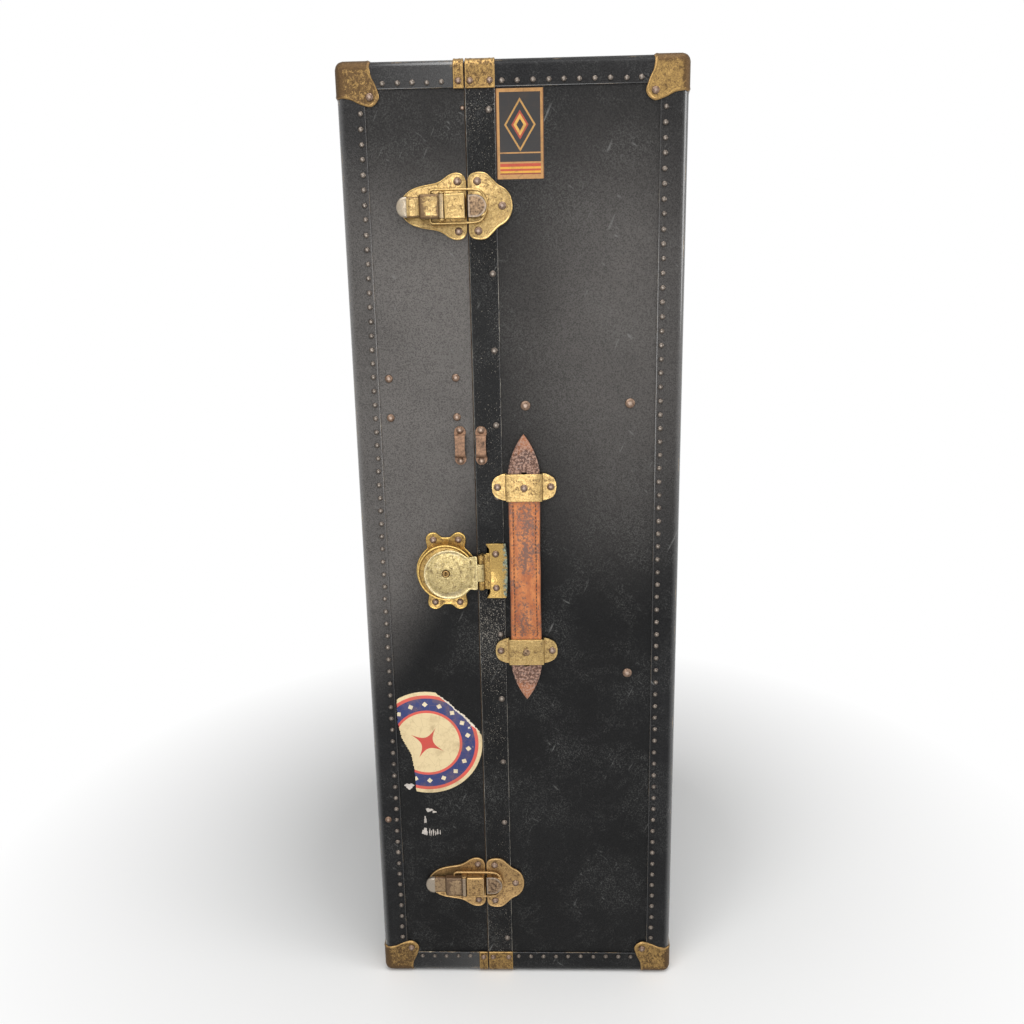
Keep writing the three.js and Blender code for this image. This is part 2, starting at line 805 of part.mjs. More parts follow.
// Hasp lock: a round case on the narrow half, and a hasp hinged on the wide half

const lockUp = trunk.height / 2 - lock.belowMiddle;

function lockCase() {
  const x = -lock.centreIn;
  const lobes = [];
  for (const wayX of [-1, 1]) {
    for (const wayY of [-1, 1]) {
      const [lobeX, lobeY] = [x + wayX * lock.lobeSide, wayY * lock.lobeUp];
      lobes.push(bar('z', lock.lobeRadius, seatGap, plateTop, lobeX, lobeY, sides.disc / 2));
      lobes.push(rivetHead(lobeX, lobeY, plateTop));
    }
  }
  const solid = join(
    bar('z', lock.plateRadius, seatGap, plateTop, x, 0, sides.disc),
    block(
      x - lock.plateHalfWidth, x + lock.plateHalfWidth, -lock.lobeUp, lock.lobeUp, seatGap, plateTop,
    ),
    bar('z', lock.caseRadius, plateTop - fuse, lock.caseReach, x, 0, sides.disc),
    ...lobes,
  );
  const bore = bar(
    'z', lock.plugRadius + runGap, lock.plugFoot - runGap, lock.caseReach + overrun, x, 0, sides.knuckle,
  );
  const mesh = meshOf('lock_case', solid.subtract(bore), finish.brass);
  mesh.position.y = lockUp;
  return mesh;
}

function lockPlug() {
  const x = -lock.centreIn;
  const post = bar('z', lock.plugRadius, lock.plugFoot, lock.plugReach, x, 0, sides.knuckle);
  const slot = block(
    x - lock.keySlotWidth / 2, x + lock.keySlotWidth / 2,
    -lock.keySlotLength / 2, lock.keySlotLength / 2,
    lock.plugReach - lock.keySlotDepth, lock.plugReach + overrun,
  );
  const mesh = meshOf('lock_plug', post.subtract(slot), finish.brass);
  mesh.position.y = lockUp;
  return mesh;
}

function lockHasp() {
  const x = -lock.centreIn;
  const under = lock.caseReach + runGap;
  const over = under + hasp.thickness;
  const neckEnd = hasp.axisOut - hasp.knuckleRadius - hasp.neckClear;
  const half = hasp.knuckleHalfHeight;
  const solid = join(
    bar('z', hasp.discRadius, under, over, x, 0, sides.disc),
    block(x, neckEnd, -hasp.neckHalfHeight, hasp.neckHalfHeight, under, over),
    block(neckEnd - fuse, hasp.axisOut, -half, half, under, over),
    bar('y', hasp.knuckleRadius, -half, half, hasp.axisOut, hasp.axisReach, sides.knuckle),
  );
  const plugHole = bar(
    'z', lock.plugRadius + hasp.holeGap, under - overrun, over + overrun, x, 0, sides.knuckle,
  );
  const pinHole = bar(
    'y', hasp.pinRadius + runGap, -overrun, overrun, hasp.axisOut, hasp.axisReach, sides.pin,
  );
  const mesh = meshOf('lock_hasp', solid.subtract(plugHole).subtract(pinHole), finish.brass);
  mesh.position.y = lockUp;
  return mesh;
}

function haspLeafPlate() {
  const { from, to, halfHeight } = haspLeaf;
  const shape = new THREE.Shape();
  shape.moveTo(from, -halfHeight);
  shape.lineTo(to, -halfHeight);
  shape.quadraticCurveTo(to + 2 * haspLeaf.bulge, 0, to, halfHeight);
  shape.lineTo(from, halfHeight);
  shape.closePath();
  const waist = haspLeaf.waistHalfHeight;
  const webTop = hasp.axisReach - hasp.knuckleRadius / 2;
  const parts = [plate(shape, hardwareInner, strikeTop)];
  for (const way of [-1, 1]) {
    const ends = [way * (hasp.knuckleHalfHeight + runGap), way * waist].sort((a, b) => a - b);
    const { axisOut, axisReach, knuckleRadius } = hasp;
    parts.push(bar('y', knuckleRadius, ...ends, axisOut, axisReach, sides.knuckle));
    parts.push(block(axisOut, from + fuse, ...ends, hardwareInner, webTop));
    parts.push(rivetHead(haspLeaf.rivetOut, way * haspLeaf.rivetUp, strikeTop));
  }
  parts.push(bar('y', hasp.pinRadius, -waist, waist, hasp.axisOut, hasp.axisReach, sides.pin));
  const mesh = meshOf('hasp_leaf', join(...parts), finish.brass);
  mesh.position.y = lockUp;
  return mesh;
}

face.add(lockCase(), lockPlug(), lockHasp(), haspLeafPlate());

// Handle: two metal loops with a rivet through the strap's slot, and a stitched leather strap

const handleUp = trunk.height / 2 - handle.belowMiddle;
const strapTop = handle.seatReach + handle.thickness;
const loopUnder = strapTop + runGap;
const loopOver = loopUnder + loop.sheet;

function handleLoop(name, way) {
  const lobeShape = new THREE.Shape();
  lobeShape.absellipse(0, 0, loop.lobeOut, loop.lobeHalfHeight, 0, 2 * Math.PI);
  const lobePoints = new THREE.Shape(lobeShape.getPoints(sides.disc));
  const wingTop = hardwareInner + loop.sheet;
  const gapBox = block(
    -loop.halfWidth + loop.sheet, loop.halfWidth - loop.sheet, -overrun, overrun, 0, loopUnder,
  );
  const bridge = block(
    -loop.halfWidth, loop.halfWidth, -loop.halfHeight, loop.halfHeight, hardwareInner, loopOver,
  );
  const solid = join(
    plate(lobePoints, hardwareInner, wingTop).add(bridge).subtract(gapBox),
    bar('z', loop.shankRadius, seatGap, loopOver, 0, 0, sides.pin),
    rivetHead(0, 0, loopOver),
    rivetHead(loop.rivetOut, 0, wingTop),
    rivetHead(-loop.rivetOut, 0, wingTop),
  );
  const mesh = meshOf(`handle_loop_${name}`, solid, finish.brass);
  mesh.position.set(handle.centreOut, handleUp + way * loop.spacing, 0);
  return mesh;
}

// The strap's ends lie in the loops, with their outer tips pointed
const strapEndInner = loop.spacing - loop.halfHeight - loop.endPast;

function strapEnd(name, way) {
  const { halfWidth, halfLength, pointLength } = handle;
  const shoulder = halfLength - pointLength;
  const controlShare = 0.62;
  const bendAt = shoulder + pointLength * controlShare;
  const shape = new THREE.Shape();
  shape.moveTo(-halfWidth, strapEndInner);
  shape.lineTo(halfWidth, strapEndInner);
  shape.lineTo(halfWidth, shoulder);
  shape.quadraticCurveTo(halfWidth, bendAt, 0, halfLength);
  shape.quadraticCurveTo(-halfWidth, bendAt, -halfWidth, shoulder);
  shape.closePath();
  const slotFrom = loop.spacing - handle.slotHalfWidth;
  const slotTo = loop.spacing + handle.slide + handle.slotHalfWidth + handle.slotShow;
  const slot = block(
    -handle.slotHalfWidth, handle.slotHalfWidth, slotFrom, slotTo, -overrun, overrun,
  );
  const half = plate(shape, handle.seatReach, strapTop).subtract(slot);
  const solid = way > 0 ? half : half.mirror([0, 1, 0]);
  const mesh = meshOf(`strap_${name}_end`, solid, finish.leather);
  mesh.position.set(handle.centreOut, handleUp, 0);
  return mesh;
}

// The side view of the grip is a shallow arch
function strapGrip() {
  const { gripHalfLength, gripThickness, gripCrown } = handle;
  const under = handle.seatReach + handle.gripEndLift;
  const over = under + gripThickness;
  const shape = new THREE.Shape();
  shape.moveTo(-gripHalfLength, under);
  shape.quadraticCurveTo(0, under + 2 * gripCrown, gripHalfLength, under);
  shape.lineTo(gripHalfLength, over);
  shape.quadraticCurveTo(0, over + 2 * gripCrown, -gripHalfLength, over);
  shape.closePath();
  const mesh = meshOf(
    'strap_grip', sweepAcross(shape, -handle.halfWidth, handle.halfWidth), finish.leather,
  );
  mesh.position.set(handle.centreOut, handleUp, 0);
  return mesh;
}

// The short stretch that bends when the handle is lifted
function strapFlex(name, way) {
  const from = handle.gripHalfLength + seatGap;
  const to = strapEndInner - seatGap;
  const mid = (from + to) / 2;
  const gripUnder = handle.seatReach + handle.gripEndLift;
  const gripOver = gripUnder + handle.gripThickness;
  const shape = new THREE.Shape();
  shape.moveTo(from, gripUnder);
  shape.lineTo(from, gripOver);
  shape.bezierCurveTo(mid, gripOver, mid, strapTop, to, strapTop);
  shape.lineTo(to, handle.seatReach);
  shape.bezierCurveTo(mid, handle.seatReach, mid, gripUnder, from, gripUnder);
  shape.closePath();
  const half = sweepAcross(shape, -handle.halfWidth, handle.halfWidth);
  const solid = way > 0 ? half : half.mirror([0, 1, 0]);
  const mesh = meshOf(`strap_${name}_flex`, solid, finish.leather);
  mesh.position.set(handle.centreOut, handleUp, 0);
  return mesh;
}

face.add(handleLoop('top', 1), handleLoop('bottom', -1), strapGrip());
face.add(strapEnd('top', 1), strapEnd('bottom', -1), strapFlex('upper', 1), strapFlex('lower', -1));

// Footman loops: bent strips that a lashing strap passes under, one on each side of the seam

function footmanLoop(name, x, base) {
  const { halfHeight, bridgeHalfHeight, sheet, rise, ramp } = footman;
  const foot = bridgeHalfHeight + ramp;
  const shape = new THREE.Shape();
  shape.moveTo(-halfHeight, base);
  shape.lineTo(-foot, base);
  shape.lineTo(-bridgeHalfHeight, base + rise);
  shape.lineTo(bridgeHalfHeight, base + rise);
  shape.lineTo(foot, base);
  shape.lineTo(halfHeight, base);
  shape.lineTo(halfHeight, base + sheet);
  shape.lineTo(foot + sheet / 2, base + sheet);
  shape.lineTo(bridgeHalfHeight + sheet / 2, base + rise + sheet);
  shape.lineTo(-bridgeHalfHeight - sheet / 2, base + rise + sheet);
  shape.lineTo(-foot - sheet / 2, base + sheet);
  shape.lineTo(-halfHeight, base + sheet);
  shape.closePath();
  const solid = join(
    sweepAcross(shape, x - footman.halfWidth, x + footman.halfWidth),
    rivetHead(x, footman.rivetUp, base + sheet),
    rivetHead(x, -footman.rivetUp, base + sheet),
  );
  const mesh = meshOf(`footman_loop_${name}`, solid, finish.rust);
  mesh.position.y = footmanUp;
  return mesh;
}

face.add(footmanLoop('narrow', -footman.narrowIn, seatGap));
face.add(footmanLoop('wide', footman.wideOut, hardwareInner));

// Drawer rack: a ladder of shelves between two uprights, and five drawers that slide out of it

const rackBox = {
  x0: left + trunk.panel + seatGap,
  x1: seam - lip.reach - rack.recess,
  y0: front + trunk.wall + seatGap,
  y1: rear - trunk.wall - seatGap,
  z0: bottom + trunk.wall + seatGap,
  z1: top - trunk.wall - seatGap,
};

function rackCells() {
  const count = rack.cellHeightShares.length;
  // The head board is as deep as the trolley rail, so that the top drawer slides out under it
  const head = rail.height + rack.underRail;
  const free = rackBox.z1 - rackBox.z0 - head - count * rack.shelf;
  let high = rackBox.z1 - head;
  return rack.cellHeightShares.map((share) => {
    const cell = { z0: high - share * free, z1: high };
    high = cell.z0 - rack.shelf;
    return cell;
  });
}

function drawerRack(cells) {
  let solid = block(rackBox.x0, rackBox.x1, rackBox.y0, rackBox.y1, rackBox.z0, rackBox.z1);
  for (const { z0, z1 } of cells) {
    const hollow = block(
      rackBox.x0 - overrun, rackBox.x1 + overrun, rackBox.y0 + rack.side, rackBox.y1 - rack.side, z0, z1,
    );
    solid = solid.subtract(hollow);
  }
  return meshOf('drawer_rack', solid, finish.wood);
}

function slidingDrawer(index, cell) {
  const x0 = rackBox.x0 + drawer.backGap;
  const x1 = rackBox.x1;
  const y0 = rackBox.y0 + rack.side + drawer.sideGap;
  const y1 = rackBox.y1 - rack.side - drawer.sideGap;
  const z0 = cell.z0 + seatGap;
  const z1 = cell.z1 - drawer.topGap;
  const hollow = block(
    x0 + drawer.wall, x1 - drawer.wall, y0 + drawer.wall, y1 - drawer.wall, z0 + drawer.floor,
    z1 + overrun,
  );
  const knob = bar(
    'x', drawer.knobRadius, x1 - fuse, x1 + drawer.knobReach, (y0 + y1) / 2, (z0 + z1) / 2, sides.knuckle,
  );
  const solid = block(x0, x1, y0, y1, z0, z1).subtract(hollow).add(knob);
  return meshOf(`drawer_${index + 1}`, solid, finish.lining);
}

const cells = rackCells();
root.add(drawerRack(cells));
cells.forEach((cell, index) => root.add(slidingDrawer(index, cell)));

// Clothes trolley: a rail under the top wall, a sliding bar and four hangers

const depthMiddle = (front + rear) / 2;
const ceiling = top - trunk.wall - seatGap;
const railBottom = ceiling - rail.height;
const wallFace = right - trunk.panel;

function trolleyRail() {
  const x0 = seam + rail.startIn;
  const x1 = wallFace - rail.endClear;
  const half = rail.width / 2;
  const outer = block(x0, x1, depthMiddle - half, depthMiddle + half, railBottom, ceiling);
  const channel = block(
    x0 - overrun, x1 - rail.sheet,
    depthMiddle - half + rail.sheet, depthMiddle + half - rail.sheet,
    railBottom + rail.sheet, ceiling - rail.sheet,
  );
  const slot = block(
    x0 - overrun, x1 - rail.sheet,
    depthMiddle - rail.slot / 2, depthMiddle + rail.slot / 2,
    railBottom - overrun, railBottom + rail.sheet + fuse,
  );
  return meshOf('trolley_rail', outer.subtract(channel).subtract(slot), finish.steel);
}

const barHeight = railBottom - trolley.barDrop;
const trolleyEnd = wallFace - trolley.wallClear;
const hangerX = (index) => trolleyEnd - hanger.firstIn - index * hanger.pitch;
const trolleyStart = hangerX(hanger.count - 1) - hanger.firstIn;

function hangerTrolley() {
  const flangeHalf = rail.width / 2 - rail.sheet - runGap;
  const flangeFoot = railBottom + rail.sheet + seatGap;
  const flangeTop = flangeFoot + trolley.flange;
  const post = (x0) => block(
    x0, x0 + trolley.postThickness,
    depthMiddle - trolley.postWidth / 2, depthMiddle + trolley.postWidth / 2,
    barHeight - trolley.barRadius, flangeFoot + fuse,
  );
  const solid = join(
    block(
      trolleyStart, trolleyEnd, depthMiddle - flangeHalf, depthMiddle + flangeHalf,
      flangeFoot, flangeTop,
    ),
    post(trolleyStart),
    post(trolleyEnd - trolley.postThickness),
    bar('x', trolley.barRadius, trolleyStart, trolleyEnd, depthMiddle, barHeight, sides.knuckle),
  );
  return meshOf('hanger_trolley', solid, finish.steel);
}

function clothesHanger(index) {
  const half = hanger.span / 2;
  const shape = new THREE.Shape();
  const rootShare = 0.45;
  const { depth, shoulderDrop, tipRadius } = hanger;
  shape.moveTo(0, 0);
  shape.quadraticCurveTo(half * rootShare, 0, half, -shoulderDrop + tipRadius);
  shape.lineTo(half - tipRadius / 2, -shoulderDrop - tipRadius / 2);
  shape.quadraticCurveTo(half * rootShare, -depth, 0, -depth);
  shape.quadraticCurveTo(-half * rootShare, -depth, -half + tipRadius / 2, -shoulderDrop - tipRadius / 2);
  shape.lineTo(-half, -shoulderDrop + tipRadius);
  shape.quadraticCurveTo(-half * rootShare, 0, 0, 0);
  const x = hangerX(index);
  const ringRadius = trolley.barRadius + seatGap + hanger.wireRadius;
  const woodTop = barHeight - ringRadius - hanger.stem;
  const wood = sweepAcross(shape, -hanger.thickness / 2, hanger.thickness / 2);
  // The hook starts in the wood, rises past the bar and curls over it
  const points = [new THREE.Vector3(0, 0, woodTop - depth / 2)];
  points.push(new THREE.Vector3(0, 0, barHeight - ringRadius - hanger.stem / 2));
  for (let i = 0; i <= sides.hookSteps; i++) {
    const share = hookStartShare + (hookEndShare - hookStartShare) * (i / sides.hookSteps);
    const turn = share * 2 * Math.PI;
    points.push(
      new THREE.Vector3(0, ringRadius * Math.cos(turn), barHeight + ringRadius * Math.sin(turn)),
    );
  }
  const route = new THREE.CatmullRomCurve3(points, false, 'centripetal');
  const hook = wire(route, hanger.wireRadius, sides.hookSteps + sides.curve);
  const solid = wood.translate([0, 0, woodTop]).add(hook).translate([x, depthMiddle, 0]);
  return meshOf(`hanger_${index + 1}`, solid, finish.wood);
}

root.add(trolleyRail(), hangerTrolley());
for (let i = 0; i < hanger.count; i++) root.add(clothesHanger(i));

export default root;
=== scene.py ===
# Wardrobe trunk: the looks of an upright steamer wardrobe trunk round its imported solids
import math

import bmesh
import bpy
from mathutils import Matrix, Vector


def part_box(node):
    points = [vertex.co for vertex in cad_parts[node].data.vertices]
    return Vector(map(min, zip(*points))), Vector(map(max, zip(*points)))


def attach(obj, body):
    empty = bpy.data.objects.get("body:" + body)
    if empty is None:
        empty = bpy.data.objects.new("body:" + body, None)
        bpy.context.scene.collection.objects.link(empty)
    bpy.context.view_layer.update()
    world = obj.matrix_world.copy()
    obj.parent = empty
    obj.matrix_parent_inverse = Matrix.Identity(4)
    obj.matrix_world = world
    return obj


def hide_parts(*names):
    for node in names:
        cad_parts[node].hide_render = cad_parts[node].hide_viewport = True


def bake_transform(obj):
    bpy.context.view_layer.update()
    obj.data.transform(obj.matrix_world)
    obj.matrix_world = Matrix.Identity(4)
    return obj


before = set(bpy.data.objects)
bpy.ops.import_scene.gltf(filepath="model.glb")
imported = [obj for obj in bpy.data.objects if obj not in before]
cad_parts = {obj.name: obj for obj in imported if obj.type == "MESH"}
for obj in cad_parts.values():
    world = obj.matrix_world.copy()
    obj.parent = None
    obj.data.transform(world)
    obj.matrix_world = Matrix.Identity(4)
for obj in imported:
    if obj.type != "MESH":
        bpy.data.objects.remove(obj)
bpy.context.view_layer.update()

# Camera: a hand-held camera about a metre in front of the face and 0.82 m above the floor,
# tilted down 14 degrees, as the face's perspective in the photograph gives it
camera_data = bpy.data.cameras.new("camera")
camera_data.sensor_width = 36
camera_data.lens = 957.1 / 1024 * 36
camera = bpy.data.objects.new("camera", camera_data)
held = Matrix.Translation((.0279, -1.2834, .8242))
for degrees, axis in ((2.02, "Z"), (76.33, "X"), (-1.07, "Z")):
    held = held @ Matrix.Rotation(math.radians(degrees), 4, axis)
camera.matrix_world = held
bpy.context.scene.collection.objects.link(camera)
bpy.context.scene.camera = camera


def linear(colour):
    """An sRGB hex colour as the linear values that Blender's sockets take."""
    channels = [int(colour[i:i + 2], 16) / 255 for i in (1, 3, 5)]
    return [c / 12.92 if c <= .04045 else ((c + .055) / 1.055) ** 2.4 for c in channels] + [1.]


def feed(node, **inputs):
    """Sets a node's inputs by name, or by i and a number: each a value, a hex colour, another node or one of
    its outputs. Small names are the node's own settings."""
    for name, value in inputs.items():
        numbered = name[0] == "i" and name[1:].isdigit()
        if name[0].islower() and not numbered:
            setattr(node, name, value)
            continue
        socket = node.inputs[int(name[1:])] if numbered else node.inputs[name.replace("_", " ")]
        if isinstance(value, bpy.types.Node):
            value = value.outputs.get("Fac") or next(output for output in value.outputs if output.enabled)
        if isinstance(value, bpy.types.NodeSocket):
            node.id_data.links.new(value, socket)
        elif isinstance(value, str) and value.startswith("#"):
            socket.default_value = linear(value)
        else:
            socket.default_value = value


def add(tree, kind, *first, **inputs):
    """Adds a node: its kind, which is the type less its family, its first inputs in their order, then the
    inputs and settings that have a name."""
    family = next(name for name in ("ShaderNode", "GeometryNode", "FunctionNode", "")
                  if hasattr(bpy.types, name + kind))
    made = tree.nodes.new(family + kind)
    feed(made, **{f"i{n}": value for n, value in enumerate(first)}, **inputs)
    return made


def new_material(name):
    """A new material, its node tree, its Principled shader and the object's coordinates."""
    made = bpy.data.materials.new(name)
    made.use_nodes = True
    tree = made.node_tree
    return made, tree, tree.nodes["Principled BSDF"], add(tree, "TexCoord").outputs["Object"]


def tint(colour, shade, mask, low=None, high=1., most=1.):
    """Lays a shade over a colour by a mask, or where the mask rises, or falls, from low to high, and at most
    so much of it."""
    tree = mask.id_data
    if low is not None:
        mask = add(tree, "MapRange", mask, low, high, To_Max=most)
    return add(tree, "Mix", data_type="RGBA", i0=mask, i6=colour, i7=shade)


def seen_rays(tree):
    """1 for the rays that see a surface itself: straight, in metal or through glass. 0 for the light that it
    sends on."""
    path = add(tree, "LightPath").outputs
    either = add(tree, "Math", path["Is Camera Ray"], path["Is Transmission Ray"], operation="MAXIMUM")
    return add(tree, "Math", either, path["Is Glossy Ray"], operation="MAXIMUM")


# Floor and light: a pale studio floor without an edge, a wide soft lamp low in front that adds to the face's
# glare, which is also painted into the fibre's colour, two weaker ones over the camera, one at the right, and
# a pale room, at a level where a colour renders as it is written
floor_mesh = bpy.data.meshes.new("floor")
floor_mesh.from_pydata([(-9, -9, 0), (9, -9, 0), (9, 9, 0), (-9, 9, 0)], [], [(0, 1, 2, 3)])
floor = bpy.data.objects.new("floor", floor_mesh)
bpy.context.scene.collection.objects.link(floor)
painted_floor, tree, shader, _ = new_material("matt_floor_paint")
feed(shader, Base_Color="#f6f6f5", Roughness=.8)
place = add(tree, "NewGeometry").outputs["Position"]
away = add(tree, "VectorMath", place, (0, 0, 0), operation="DISTANCE")
far = add(tree, "MapRange", away, .3, .8)
lit = add(tree, "Math", far, seen_rays(tree), operation="MULTIPLY")
white = add(tree, "Emission", Color="#ffffff", Strength=1.)
mixed = add(tree, "MixShader", lit, shader, white)
feed(tree.nodes["Material Output"], Surface=mixed)
floor_mesh.materials.append(painted_floor)

for name, power, size, spot, aim in (
        ("front_lamp", 11, 1., (-.2, -2.7, .5), (0, -.28, .55)),
        ("key_lamp", 24, 1.7, (-1.25, -2.2, 2.5), (0, -.28, .6)),
        ("over_lamp", 30, 1.7, (.3, -1.1, 3.), (0, -.28, .8)),
        ("side_lamp", 18, 1.4, (2.3, -.9, 1.3), (.1, -.2, .55))):
    lamp_data = bpy.data.lights.new(name, "AREA")
    lamp_data.energy, lamp_data.shape, lamp_data.size = power, "DISK", size
    lamp = bpy.data.objects.new(name, lamp_data)
    turned = (Vector(aim) - Vector(spot)).to_track_quat("-Z", "Y").to_matrix().to_4x4()
    lamp.matrix_world = Matrix.Translation(spot) @ turned
    bpy.context.scene.collection.objects.link(lamp)

room = bpy.data.worlds.new("pale_room")
room.use_nodes = True
bpy.context.scene.world = room
tree = room.node_tree
feed(tree.nodes["Background"], Color="#f4f4f4", Strength=.4)
backdrop = add(tree, "Background", Color="#ffffff", Strength=1.)
mixed = add(tree, "MixShader", seen_rays(tree), tree.nodes["Background"], backdrop)
feed(tree.nodes["World Output"], Surface=mixed)
bpy.context.scene.view_settings.view_transform = "Standard"


# Shell: each half is a plywood tray of four walls and a side panel, covered with black vulcanised
# fibre that is glued down, glazed and rubbed matt by a century of handling. The sheets' raw edges
# show their plies at the seam. Sizes of the body in metres, as the solids have them
left, right, seam = -.1715, .1715, -.0465
front, rear, foot, crown = -.2771, .2819, .003, 1.032
body_middle = Vector((0, (front + rear) / 2, (foot + crown) / 2))
body_half = Vector((right, (rear - front) / 2, (crown - foot) / 2))


def fibre(name, low, high, roughness, painted_glare=1.):
    """Black vulcanised fibre. The eye sees a dark sheet with a soft cloudy glare painted into its colour, as
    strong as the last argument says, a fine pressed grain, pale dust in rubbed patches and hair-thin
    scratches."""
    made, tree, shader, at = new_material(name)
    cloud = add(tree, "TexNoise", at, Scale=7.5, Detail=5., Roughness=.6)
    grain = add(tree, "TexNoise", at, Scale=760., Detail=3., Roughness=.75)
    rubbed = add(tree, "TexNoise", at, Scale=15., Detail=6., Roughness=.75, Distortion=.5)
    colour = tint(low, high, cloud, .34, .68)
    # Painted glare: a cloudy pale glare painted into the colour over the upper narrow half, towards the
    # front, and in one patch of the wide half
    where = add(tree, "SeparateXYZ", at)
    slanted = add(tree, "Math", where.outputs["X"], -1.5, where.outputs["Z"], operation="MULTIPLY_ADD")
    painted_glare_and_salt_bloom = painted_glare
    for value, start, end, least in ((slanted, .57, .74, 0.), (where.outputs["Z"], .98, .84, .14),
            (where.outputs["X"], seam + .001, seam - .001, 0.),
            (where.outputs["Y"], rear - .1, front + .1, .25)):
        part = add(tree, "MapRange", value, start, end, least, interpolation_type="SMOOTHSTEP")
        painted_glare_and_salt_bloom = add(tree, "Math", painted_glare_and_salt_bloom, part, operation="MULTIPLY")
    patch = add(tree, "Mapping", at, Location=(-.112, .1386, -.456), Scale=(1, .5, .6))
    patch = add(tree, "VectorMath", patch, operation="LENGTH")
    patch = add(tree, "MapRange", patch, .19, .02, interpolation_type="SMOOTHSTEP", To_Max=.7 * painted_glare)
    painted_glare_and_salt_bloom = add(tree, "Math", painted_glare_and_salt_bloom, patch, operation="MAXIMUM")
    uneven = add(tree, "Math", cloud, .9, .5, operation="MULTIPLY_ADD")
    painted_glare_and_salt_bloom = add(tree, "Math", painted_glare_and_salt_bloom, uneven, operation="MULTIPLY")
    # The painted glare's pale grey, laid over the fibre's black
    colour = tint(colour, "#706c69", painted_glare_and_salt_bloom)
    colour = tint(colour, "#0b0b0c", grain, .56, .38, .52)
    # Dust caught in the grain, drawn at 1.8 mm, about twice its real size, thickest in the rubbed patches
    patch = add(tree, "MapRange", rubbed, .46, .7, To_Min=.08)
    speck = add(tree, "MapRange", grain, .5, .68)
    dust = add(tree, "Math", patch, speck, operation="MULTIPLY")
    colour = tint(colour, "#5c5c5a", dust)
    # Scratches: hair-thin streaks about 100 mm long in two directions, broken up into short marks
    marks = None
    for lean in ((0, .45, .2), (0, -.9, .3)):
        turned = add(tree, "Mapping", at, vector_type="TEXTURE", Rotation=lean,
                     Scale=(.0042, .0042, .07))
        streaks = add(tree, "TexNoise", turned, Scale=1., Detail=1.)
        line = add(tree, "MapRange", streaks, .72, .78)
        marks = line if marks is None else add(tree, "Math", marks, line, operation="MAXIMUM")
    broken = add(tree, "MapRange", rubbed, .48, .6, To_Max=.4)
    scratch = add(tree, "Math", marks, broken, operation="MULTIPLY")
    colour = tint(colour, "#8a8a88", scratch)
    dull = add(tree, "MapRange", rubbed, .35, .65, roughness - .07, roughness + .07)
    height = add(tree, "Math", scratch, -.8, grain, operation="MULTIPLY_ADD")
    bump = add(tree, "Bump", Strength=.75, Distance=.0008, Height=height)
    wave = add(tree, "TexNoise", at, Scale=24., Detail=2.)
    bump = add(tree, "Bump", Strength=.16, Distance=.004, Height=wave, Normal=bump)
    feed(shader, Base_Color=colour, Specular_IOR_Level=.16, Roughness=dull, Normal=bump)
    return made, tree, shader, at, colour


shell_fibre = fibre("black_vulcanised_fibre_glazed", "#0a0a0b", "#161617", .34)[0]
frame_fibre, tree, shader, at, black = fibre("black_vulcanised_fibre_over_plywood", "#0a0a0b", "#161617", .34)
# Plywood edge at the seam: five plies of 1.6 mm across the 8 mm wall, seen only within 0.4 mm of it
where = add(tree, "SeparateXYZ", at)
edge = add(tree, "Math", where.outputs["X"], seam, .0004, operation="COMPARE")
flame = add(tree, "TexNoise", at, Scale=160., Detail=3.)
plies = tint("#5d4630", "#8f7150", flame)
colour = tint(black, plies, edge)
feed(shader, Base_Color=colour)

for node, material in (("wide_side_panel", shell_fibre), ("narrow_side_panel", shell_fibre),
                       ("wide_frame", frame_fibre), ("narrow_frame", frame_fibre)):
    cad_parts[node].data.materials.clear()
    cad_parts[node].data.materials.append(material)


def add_piece(name, shape, material, body=None, replaces=(), crease=35):
    """Makes a finished bmesh a piece: smooth but for its creases, with its material, body and the solids it
    stands for."""
    mesh = bpy.data.meshes.new(name)
    shape.to_mesh(mesh)
    shape.free()
    mesh.shade_smooth()
    mesh.set_sharp_from_angle(angle=math.radians(crease))
    mesh.materials.append(material)
    made = bpy.data.objects.new(name, mesh)
    bpy.context.scene.collection.objects.link(made)
    if body:
        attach(made, body)
    if replaces:
        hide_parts(*replaces)
    return made


def cube(shape, middle, size):
    """Adds a plain box."""
    bmesh.ops.create_cube(shape, size=1, matrix=Matrix.Translation(middle) @ Matrix.Diagonal(size.to_4d()))


# Lining: striped paper pasted to the inner faces of the wide half, 0.2 mm thick. The narrow half
# is filled by its drawer rack, so its lining doesn't show
shape = bmesh.new()
low = Vector((seam + .0205, front + .00802, foot + .00802))
high = Vector((right - .00832, rear - .00802, crown - .00802))
cube(shape, (low + high) / 2, high - low)
bmesh.ops.delete(shape, geom=[f for f in shape.faces if f.normal.x < -.5], context="FACES_ONLY")
paper, tree, shader, at = new_material("printed_lining_paper")
# Lining paper, printed and varnished: pale buff with faded blue-grey stripes 5 mm wide every 14 mm
where = add(tree, "SeparateXYZ", at)
across = add(tree, "Math", where.outputs["X"], where.outputs["Y"], operation="ADD")
turn = add(tree, "Math", across, .007, operation="PINGPONG")
stripe = add(tree, "MapRange", turn, .0024, .0027)
thread = add(tree, "MapRange", turn, .0061, .0064)
colour = tint("#6f7c85", "#b9a987", stripe)
colour = tint(colour, "#8d5a48", thread)
age = add(tree, "TexNoise", at, Scale=12., Detail=6., Roughness=.7)
colour = tint(colour, "#6d563a", age, .42, .8, .55)
fibres = add(tree, "TexNoise", at, Scale=900., Detail=2.)
bump = add(tree, "Bump", Strength=.15, Distance=.0003, Height=fibres)
feed(shader, Base_Color=colour, Roughness=.62, Normal=bump)
lining = add_piece("lining_paper", shape, paper)
wall = lining.modifiers.new("paper_thickness", "SOLIDIFY")
wall.thickness, wall.offset = .00018, -1
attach(lining, "wide_half")


